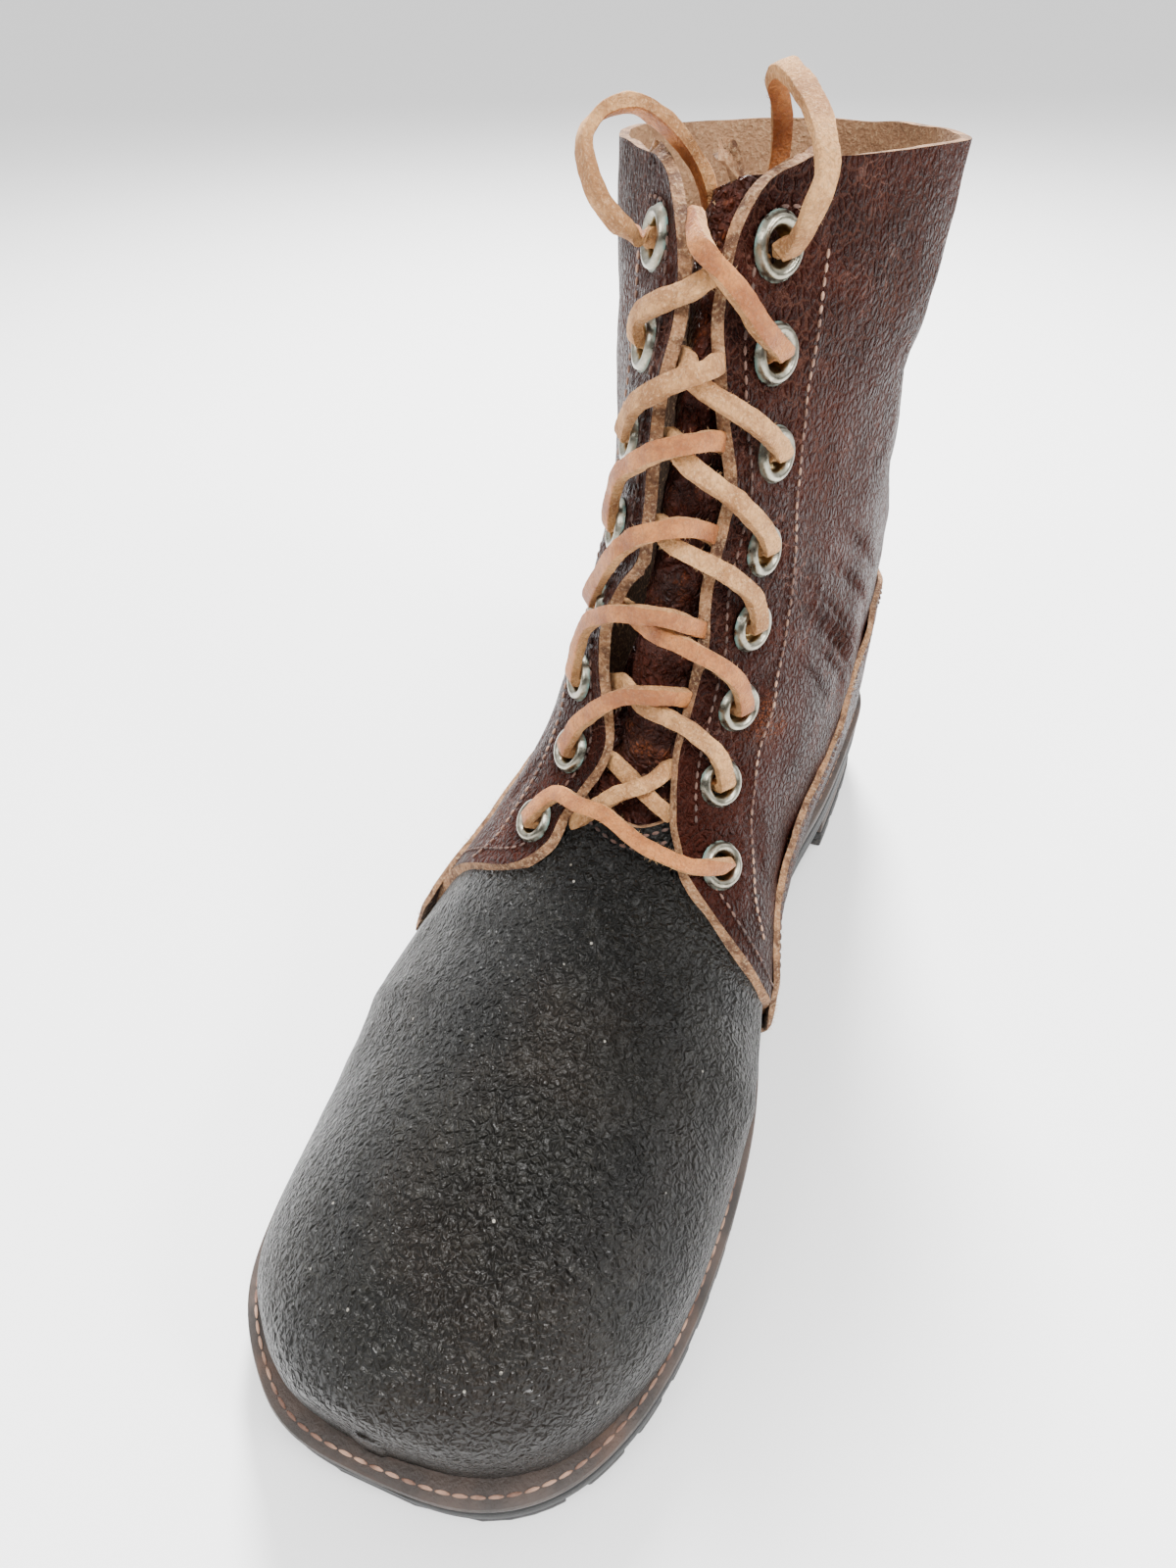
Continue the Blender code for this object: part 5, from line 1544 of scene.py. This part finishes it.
def stitch_line(bm, station, turn, pitch, width, tree):
    """Row of stitches along places on the last, laid on the leather in the tree."""
    points = settle(skin(station, turn, np.full(len(station), OUTER_STEP)))
    faces = settle_directions(last_normals(station, turn))
    stitch_places(bm, points, faces, pitch, width, STITCH_SHARE, tree)


def stitch_places(bm, points, faces, pitch, width, length_share, tree=None):
    """Stitches at an even pitch along a line, laid on the leather where a tree is given."""
    travelled = lengths_along(points)
    count = max(2, int(travelled[-1] / pitch))
    centres = (np.arange(count) + 0.5) * travelled[-1] / count
    place = read_along(centres, travelled, points)
    ahead = read_along(centres + 0.0004, travelled, points) - place
    for where, along, up in zip(place, ahead, read_along(centres, travelled, faces)):
        where = Vector(where)
        up = Vector(up).normalized()
        if tree is not None:
            found = on_leather(tree, where, up)
            if found is None:
                continue
            where, up = found
            where = where + up * width * 0.22
        along = Vector(along).normalized()
        up = (up - along * up.dot(along)).normalized()
        side = along.cross(up)
        turn = Matrix((side, along, up)).transposed().to_4x4()
        size = Matrix.Diagonal((width / 2, pitch * length_share / 2, width * 0.42, 1.0))
        bmesh.ops.create_uvsphere(
            bm, u_segments=6, v_segments=5, radius=1.0,
            matrix=Matrix.Translation(where) @ turn @ size @ Matrix.Rotation(math.pi / 2, 4, "X"),
        )


def edge_parallel(rows, inward, shares, side):
    """Station and turn of a line at a distance inside an edge, in metres."""
    spots = along_edge(rows, shares)
    points = last_surface(spots[:, 0], spots[:, 1] * side)
    ahead = np.gradient(points, axis=0)
    faces = last_normals(spots[:, 0], spots[:, 1] * side)
    across = np.cross(faces, ahead)
    across /= np.linalg.norm(across, axis=1, keepdims=True)
    step = 1e-3
    by_station = (last_surface(spots[:, 0] + step, spots[:, 1] * side) - points) / step
    by_turn = (last_surface(spots[:, 0], spots[:, 1] * side + step) - points) / step
    found = []
    for index in range(len(spots)):
        matrix = np.stack([by_station[index], by_turn[index]], axis=1)
        move, *_ = np.linalg.lstsq(matrix, across[index] * inward * -side, rcond=None)
        found.append((spots[index, 0] + move[0], spots[index, 1] * side + move[1]))
    return np.array(found)


def stay_line(side, away):
    """Station and turn of a line that runs beside the eyelets, further from the facing."""
    turns = np.linspace(0.0, 0.9, 241)
    rows = []
    for row in EYELETS:
        travelled = lengths_along(last_surface(np.full(len(turns), row[0]), turns * side))
        centre = np.interp(row[1] if side == 1 else row[2], turns, travelled)
        rows.append((row[0], float(np.interp(centre + away, travelled, turns)) * side))
    rows = np.array([(rows[0][0] - 0.35, rows[0][1] + 0.10 * side)] + rows)
    rows[:, 1] = np.convolve(np.pad(rows[:, 1], 1, mode="edge"), (0.25, 0.5, 0.25), mode="valid")
    return spline(rows, np.linspace(0.0, len(rows) - 1, 160))


def make_stitches():
    """All rows of stitches on the leather, as one piece for each thread."""
    quarters = surface_tree(("quarter_medial", "quarter_lateral"))
    counter = surface_tree(("heel_counter_leather",))
    vamp = surface_tree(("vamp",))
    dark = bmesh.new()
    pale = bmesh.new()
    for side, facing in ((1, MEDIAL_FACING), (-1, LATERAL_FACING)):
        near = edge_parallel(facing, SEAM_INSET, np.linspace(0.03, 0.985, 120), side)
        stitch_line(dark, near[:, 0], near[:, 1], *DARK_STITCH, quarters)
        stay = stay_line(side, STAY_AWAY[side])
        stitch_line(pale, stay[:, 0], stay[:, 1], *STAY_STITCH, quarters)
        front = MEDIAL_FRONT if side == 1 else LATERAL_FRONT
        row = edge_parallel(front, SEAM_INSET, np.linspace(0.05, 0.98, 60), side)
        stitch_line(dark, row[:, 0], row[:, 1], *DARK_STITCH, quarters)
        for inward in COUNTER_INSETS:
            rows = edge_parallel(COUNTER_TOP, inward, np.linspace(0.02, 1.0, 140), side)
            stitch_line(dark, rows[:, 0], rows[:, 1], *DARK_STITCH, counter)
    finish_piece("seam_stitches", dark, ("thread",), (), SMALL_SHARP)
    finish_piece("stay_stitches", pale, ("thread_pale",), (), SMALL_SHARP)
    throat = bmesh.new()
    turns = np.linspace(-0.125, 0.095, 60)
    for back in (0.10, 0.26):
        end = THROAT_STATION - THROAT_BOW * np.cos(turns * THROAT_WAVES) - back
        stitch_line(throat, end, turns, *THROAT_STITCH, vamp)
    finish_piece("throat_stitches", throat, ("thread",), (), SMALL_SHARP)
    welt = bmesh.new()
    line = outline_at(WELT_STITCH_SPREAD)
    line = np.vstack([line, line[:1]])
    points = settle(np.column_stack([line, feather(line[:, 1]) + 0.0001]))
    up = np.tile(np.array((0.0, 0.0, 1.0)), (len(points), 1))
    stitch_places(welt, points, up, *WELT_STITCH, WELT_STITCH_SHARE)
    finish_piece("welt_stitches", welt, ("thread_pale",), (), SMALL_SHARP)


def fibre(bm, place, direction, length, width, generator):
    """One short bent fibre standing on a raw edge."""
    direction = Vector(direction).normalized()
    bend = Vector(generator.normal(0.0, 0.45, 3))
    bmesh.ops.create_cone(
        bm, segments=3, radius1=width, radius2=width * 0.6, depth=length * 0.6, cap_ends=True,
        matrix=Matrix.Translation(place + direction * length * 0.25) @ toward(direction),
    )
    second = (direction + bend).normalized()
    tip = place + direction * length * 0.52 + second * length * 0.28
    bmesh.ops.create_cone(
        bm, segments=3, radius1=width * 0.6, radius2=width * 0.15, depth=length * 0.6, cap_ends=True,
        matrix=Matrix.Translation(tip) @ toward(second),
    )


def toward(direction):
    """Turn that brings the Z axis to a direction."""
    return Vector(direction).to_track_quat("Z", "Y").to_matrix().to_4x4()


def fuzz_along(bm, points, faces, count, length, width, spread, generator):
    """Fibres at random places along a line, leaning all ways."""
    for _ in range(count):
        share = generator.uniform(0.0, len(points) - 1.001)
        index = int(share)
        place = Vector(points[index] + (points[index + 1] - points[index]) * (share - index))
        lean = Vector(faces[index]) + Vector(generator.normal(0.0, spread, 3))
        size = length * generator.uniform(0.4, 1.3)
        fibre(bm, place, lean, size, width * generator.uniform(0.7, 1.3), generator)


def make_fibres():
    """Loose fibres on the raw edges, the torn corners and the lace."""
    generator = np.random.default_rng(7)
    edges = bmesh.new()
    for side, front, facing in ((1, MEDIAL_FRONT, MEDIAL_FACING), (-1, LATERAL_FRONT, LATERAL_FACING)):
        spots = along_edge(front + facing, np.linspace(0.0, 1.0, 200))
        faces = last_normals(spots[:, 0], spots[:, 1] * side)
        points = skin(spots[:, 0], spots[:, 1] * side, np.full(200, -0.0006))
        fuzz_along(edges, settle(points), settle_directions(faces), 420, 0.0011, 0.00006, 0.9, generator)
        spots = along_edge(COUNTER_TOP, np.linspace(0.0, 0.9, 200))
        faces = last_normals(spots[:, 0], spots[:, 1] * side)
        points = skin(spots[:, 0], spots[:, 1] * side, np.full(200, 0.0022))
        fuzz_along(edges, settle(points), settle_directions(faces), 520, 0.0014, 0.00007, 0.9, generator)
        corner = skin(np.full(3, 8.02), np.array((0.775, 0.785, 0.795)) * side, np.full(3, 0.0018))
        away = np.tile(np.array((side * 0.8, -0.5, -0.2)), (3, 1))
        fuzz_along(edges, settle(corner), settle_directions(away), 420, 0.0052, 0.00017, 0.9, generator)
    finish_piece("edge_fibres", edges, ("fibre",), (), SMALL_SHARP)
    lace = bmesh.new()
    for path, up in LACE_PATHS:
        ahead = np.gradient(path, axis=0)
        across = np.cross(ahead, up)
        across /= np.linalg.norm(across, axis=1, keepdims=True)
        for sign in (1.0, -1.0):
            border_line = path + across * sign * bpy.context.scene.boot_sizes.lace_width * 0.47
            count = int(len(path) * 0.55)
            fuzz_along(lace, border_line, across * sign + up * 0.4, count, 0.0009, 0.00005, 0.6, generator)
    finish_piece("lace_fibres", lace, ("fibre",), (), SMALL_SHARP)


# Stage

CAMERA_PLACE = (0.0434, -0.1630, 0.2468)
CAMERA_YAW = -20.5
CAMERA_PITCH = 43.0
CAMERA_ROLL = -1.7
CAMERA_FOCUS = 915.0


def make_camera():
    """Camera where the photo's stood, seen from the boot."""
    yaw = math.radians(CAMERA_YAW)
    pitch = math.radians(CAMERA_PITCH)
    roll = math.radians(CAMERA_ROLL)
    forward = Vector((math.sin(yaw) * math.cos(pitch), math.cos(yaw) * math.cos(pitch), -math.sin(pitch)))
    right = Vector((forward.y, -forward.x, 0.0)).normalized()
    up = right.cross(forward)
    level = math.cos(roll) * right + math.sin(roll) * up
    above = -math.sin(roll) * right + math.cos(roll) * up
    turn = Matrix((level, above, -forward)).transposed()
    turn = Matrix.Rotation(LEG_TURN, 3, "Z") @ turn
    data = bpy.data.cameras.new("photo_camera")
    data.sensor_width = 36.0
    data.lens = CAMERA_FOCUS / 1600.0 * 36.0
    data.clip_start = 0.005
    camera = bpy.data.objects.new("photo_camera", data)
    camera.matrix_world = Matrix.Translation(Vector(settle(CAMERA_PLACE))) @ turn.to_4x4()
    bpy.context.scene.collection.objects.link(camera)
    bpy.context.scene.camera = camera


def make_light(name, place, target, size, power):
    """Round white lamp at a place, turned to a target."""
    data = bpy.data.lights.new(name, "AREA")
    data.shape = "DISK"
    data.size = size
    data.energy = power
    light = bpy.data.objects.new(name, data)
    light.location = place
    light.rotation_euler = (Vector(target) - Vector(place)).to_track_quat("-Z", "Y").to_euler()
    bpy.context.scene.collection.objects.link(light)


SKY_DIRECTION = (-0.20, 0.50, 0.84)
SKY_RANGE = (("From Min", -0.1), ("From Max", 0.95), ("To Min", 0.16), ("To Max", 1.9))

# Lamps: name, place, target, size and power

LAMPS = (
    ("window", (-0.30, 0.80, 1.15), (0.0, 0.0, 0.06), 0.30, 60.0),
    ("top_window", (0.34, -0.30, 1.15), (0.0, -0.05, 0.08), 0.55, 14.0),
    ("side_window", (1.0, -0.10, 0.8), (0.0, 0.0, 0.08), 0.25, 10.0),
    ("front_fill", (-0.5, -0.9, 1.1), (0.0, 0.0, 0.08), 0.5, 9.0),
)


def make_stage():
    """Pale floor, soft daylight from behind and above, lamps and camera."""
    bm = bmesh.new()
    bmesh.ops.create_grid(bm, x_segments=8, y_segments=8, size=80.0)
    bmesh.ops.translate(bm, vec=(0.0, 0.0, -0.0002), verts=bm.verts)
    mesh = bpy.data.meshes.new("floor")
    bm.to_mesh(mesh)
    bm.free()
    mesh.materials.append(floor_paint())
    floor = bpy.data.objects.new("floor", mesh)
    bpy.context.scene.collection.objects.link(floor)
    world = bpy.data.worlds.new("studio")
    world.use_nodes = True
    tree = world.node_tree
    direction = tree.nodes.new("ShaderNodeTexCoord")
    toward_sky = tree.nodes.new("ShaderNodeVectorMath")
    toward_sky.operation = "DOT_PRODUCT"
    tree.links.new(direction.outputs["Generated"], toward_sky.inputs[0])
    toward_sky.inputs[1].default_value = SKY_DIRECTION
    dome = tree.nodes.new("ShaderNodeMapRange")
    dome.interpolation_type = "SMOOTHSTEP"
    tree.links.new(toward_sky.outputs["Value"], dome.inputs["Value"])
    for name, value in SKY_RANGE:
        dome.inputs[name].default_value = value
    tree.links.new(dome.outputs[0], tree.nodes["Background"].inputs["Strength"])
    tree.nodes["Background"].inputs["Color"].default_value = (1.0, 1.0, 1.0, 1.0)
    bpy.context.scene.world = world
    for lamp in LAMPS:
        make_light(*lamp)
    make_camera()


# Sizes and colours that a user may change


def length(name, description, default):
    """Length that a user may change."""
    return bpy.props.FloatProperty(
        name=name, description=description, default=default, min=0.0, precision=4, subtype="DISTANCE",
        unit="LENGTH",
    )


def tint(name, description, default):
    """Colour that a user may change."""
    return bpy.props.FloatVectorProperty(
        name=name, description=description, default=(*default, 1.0), size=4, min=0.0, max=1.0,
        subtype="COLOR",
    )


def mesh_count(name, default):
    """Count of mesh columns or rows that a user may change."""
    return bpy.props.IntProperty(name=name, description="Mesh columns or rows", default=default, min=8)


class BootSizes(bpy.types.PropertyGroup):
    """Sizes of the boot's pieces."""
    leather_thickness: length("Leather", "Thickness of vamp and quarters", 0.0024)
    counter_thickness: length("Counter", "Thickness of the heel counter", 0.0018)
    tongue_thickness: length("Tongue", "Thickness of the tongue", 0.0024)
    tongue_depth: length("Tongue depth", "How far the tongue lies below the facings", 0.0055)
    edge_flare: length("Edge flare", "How far the inside of a cut edge stands out", 0.0013)
    edge_round: length("Edge rounding", "Rounding of the sole's edges", 0.0007)
    lace_width: length("Lace width", "Width of the rawhide lace", 0.0040)
    lace_thickness: length("Lace thickness", "Thickness of the rawhide lace", 0.0027)
    eyelet_outer: length("Eyelet", "Diameter over an eyelet's ring", 0.0124)
    eyelet_hole: length("Eyelet hole", "Diameter of an eyelet's hole", 0.0068)
    lug_depth: length("Lug depth", "Depth of the grooves in the tread", 0.003)
    quarter_columns: mesh_count("Quarter columns", 130)
    quarter_rows: mesh_count("Quarter rows", 190)
    vamp_columns: mesh_count("Vamp columns", 150)
    vamp_rows: mesh_count("Vamp rows", 130)
    counter_columns: mesh_count("Counter columns", 340)


class BootColours(bpy.types.PropertyGroup):
    """Colours of the boot's finishes."""
    brown: tint("Brown", "Oxblood brown of the quarters", (0.038, 0.0088, 0.0054))
    brown_dark: tint("Dark brown", "Darker parts of the quarters", (0.018, 0.0046, 0.0030))
    brown_red: tint("Red brown", "Rubbed, redder parts", (0.058, 0.0122, 0.0064))
    brown_worn: tint("Worn brown", "Pale grooves between pebbles", (0.092, 0.0380, 0.0250))
    scuff: tint("Scuff", "Bare scuffs", (0.400, 0.2300, 0.1850))
    crack: tint("Crack", "Fine cracks in the finish", (0.330, 0.1600, 0.1200))
    rub: tint("Rub", "Orange rubbed patch", (0.300, 0.0850, 0.0300))
    painted_shade: tint("Painted shade", "Painted shade near the sole and deep inside the boot", (0.030, 0.022, 0.018))
    black: tint("Black", "Vamp leather", (0.0085, 0.0078, 0.0062))
    black_dark: tint("Deep black", "Hollows of the vamp", (0.0030, 0.0028, 0.0023))
    black_brown: tint("Brown black", "Brown cast on the vamp", (0.018, 0.0110, 0.0065))
    black_worn: tint("Worn black", "High parts of the vamp", (0.026, 0.0240, 0.0195))
    speck: tint("Speck", "Pale specks on the vamp", (0.30, 0.28, 0.24))
    edge: tint("Raw edge", "Cut edge of the leather", (0.340, 0.1700, 0.0760))
    edge_dark: tint("Dark edge", "Handled cut edge", (0.100, 0.0420, 0.0190))
    edge_pale: tint("Pale edge", "Loose fibres", (0.640, 0.4300, 0.2400))
    flesh: tint("Flesh side", "Inside of the leather", (0.420, 0.2350, 0.1200))
    flesh_dark: tint("Dark flesh side", "Stained inside", (0.270, 0.1400, 0.0700))
    tongue: tint("Tongue", "Tongue leather", (0.080, 0.0210, 0.0130))
    tongue_dark: tint("Dark tongue", "Darker tongue", (0.024, 0.0085, 0.0065))
    lace_suede: tint("Lace", "Suede side of the lace", (0.660, 0.3450, 0.1350))
    lace_suede_dark: tint("Dark lace", "Darker suede", (0.360, 0.1600, 0.0550))
    lace_grain: tint("Lace grain", "Smooth side of the lace", (0.560, 0.2050, 0.0480))
    lace_grain_dark: tint("Dark lace grain", "Darker smooth side", (0.320, 0.0950, 0.0200))
    lace_fuzz: tint("Fuzz", "Pale fibres of the lace", (0.740, 0.4700, 0.2400))
    nickel: tint("Nickel", "Eyelet metal", (0.360, 0.3400, 0.2700))
    nickel_dark: tint("Dark nickel", "Tarnished eyelet metal", (0.200, 0.1850, 0.1450))
    brass: tint("Brass", "Inside of an eyelet", (0.40, 0.27, 0.10))
    patina: tint("Patina", "Green rim", (0.10, 0.22, 0.20))
    patina_dark: tint("Dark patina", "Dark spots", (0.10, 0.10, 0.08))
    rubber: tint("Rubber", "Sole rubber", (0.026, 0.026, 0.026))
    rubber_dark: tint("Dark rubber", "Darker rubber", (0.012, 0.012, 0.012))
    dust: tint("Dust", "Dust on the tread", (0.16, 0.14, 0.12))
    welt: tint("Welt", "Welt and midsole leather", (0.052, 0.034, 0.026))
    welt_dark: tint("Dark welt", "Darker welt", (0.022, 0.016, 0.013))
    thread: tint("Thread", "Dark thread", (0.130, 0.065, 0.045))
    thread_dark: tint("Dark thread", "Darkest thread", (0.050, 0.028, 0.022))
    thread_pale: tint("Pale thread", "Pale thread", (0.420, 0.2500, 0.1700))


class BOOT_OT_stage(bpy.types.Operator):
    """Floor, lights and camera"""
    bl_idname = "boot.stage"
    bl_label = "Stage"

    def execute(self, context):
        make_stage()
        return {"FINISHED"}


class BOOT_OT_finishes(bpy.types.Operator):
    """Leathers, metal, rubber and thread"""
    bl_idname = "boot.finishes"
    bl_label = "Finishes"

    def execute(self, context):
        make_materials(context.scene.boot_colours)
        return {"FINISHED"}


class BOOT_OT_upper(bpy.types.Operator):
    """Vamp and the two quarters"""
    bl_idname = "boot.upper"
    bl_label = "Upper"

    def execute(self, context):
        make_vamp()
        make_quarter(1)
        make_quarter(-1)
        return {"FINISHED"}


class BOOT_OT_counter(bpy.types.Operator):
    """Heel counter over the quarters"""
    bl_idname = "boot.counter"
    bl_label = "Heel counter"

    def execute(self, context):
        make_counter()
        return {"FINISHED"}


class BOOT_OT_tongue(bpy.types.Operator):
    """Tongue behind the facings"""
    bl_idname = "boot.tongue"
    bl_label = "Tongue"

    def execute(self, context):
        make_tongue()
        return {"FINISHED"}


class BOOT_OT_eyelets(bpy.types.Operator):
    """Sixteen metal eyelets"""
    bl_idname = "boot.eyelets"
    bl_label = "Eyelets"

    def execute(self, context):
        make_eyelets()
        return {"FINISHED"}


class BOOT_OT_lace(bpy.types.Operator):
    """Rawhide lace with its two loops"""
    bl_idname = "boot.lace"
    bl_label = "Lace"

    def execute(self, context):
        make_loops()
        make_laces()
        return {"FINISHED"}


class BOOT_OT_sole(bpy.types.Operator):
    """Welt, midsole, outsole and heel"""
    bl_idname = "boot.sole"
    bl_label = "Sole"

    def execute(self, context):
        make_welt()
        make_midsole()
        make_outsole()
        make_heel()
        insole = frame["nodes"]["insole"]
        insole.data.materials.clear()
        insole.data.materials.append(MATERIALS["insole"])
        return {"FINISHED"}


class BOOT_OT_fibres(bpy.types.Operator):
    """Loose fibres of raw edges and lace"""
    bl_idname = "boot.fibres"
    bl_label = "Fibres"

    def execute(self, context):
        make_fibres()
        return {"FINISHED"}


class BOOT_OT_stitches(bpy.types.Operator):
    """Seams on the leather and the welt"""
    bl_idname = "boot.stitches"
    bl_label = "Stitches"

    def execute(self, context):
        make_stitches()
        return {"FINISHED"}


OPERATORS = (
    BOOT_OT_stage, BOOT_OT_finishes, BOOT_OT_lace, BOOT_OT_upper, BOOT_OT_counter, BOOT_OT_tongue,
    BOOT_OT_eyelets, BOOT_OT_sole, BOOT_OT_stitches, BOOT_OT_fibres,
)


class BOOT_PT_panel(bpy.types.Panel):
    """Pieces of the boot"""
    bl_idname = "BOOT_PT_panel"
    bl_label = "Combat boot"
    bl_space_type = "VIEW_3D"
    bl_region_type = "UI"
    bl_category = "Boot"

    def draw(self, context):
        for operator in OPERATORS:
            self.layout.operator(operator.bl_idname)
        for name in BootSizes.__annotations__:
            self.layout.prop(context.scene.boot_sizes, name)
        for name in BootColours.__annotations__:
            self.layout.prop(context.scene.boot_colours, name)


CLASSES = (BootSizes, BootColours) + OPERATORS + (BOOT_PT_panel,)


def register():
    """Add the panel, the operators and their settings."""
    for kind in CLASSES:
        bpy.utils.register_class(kind)
    bpy.types.Scene.boot_sizes = bpy.props.PointerProperty(type=BootSizes)
    bpy.types.Scene.boot_colours = bpy.props.PointerProperty(type=BootColours)


def unregister():
    """Take them away again."""
    del bpy.types.Scene.boot_colours
    del bpy.types.Scene.boot_sizes
    for kind in reversed(CLASSES):
        bpy.utils.unregister_class(kind)


def main():
    """Build the boot's looks."""
    register()
    for operator in OPERATORS:
        getattr(bpy.ops.boot, operator.bl_idname.split(".")[1])()


if __name__ == "__main__":
    main()
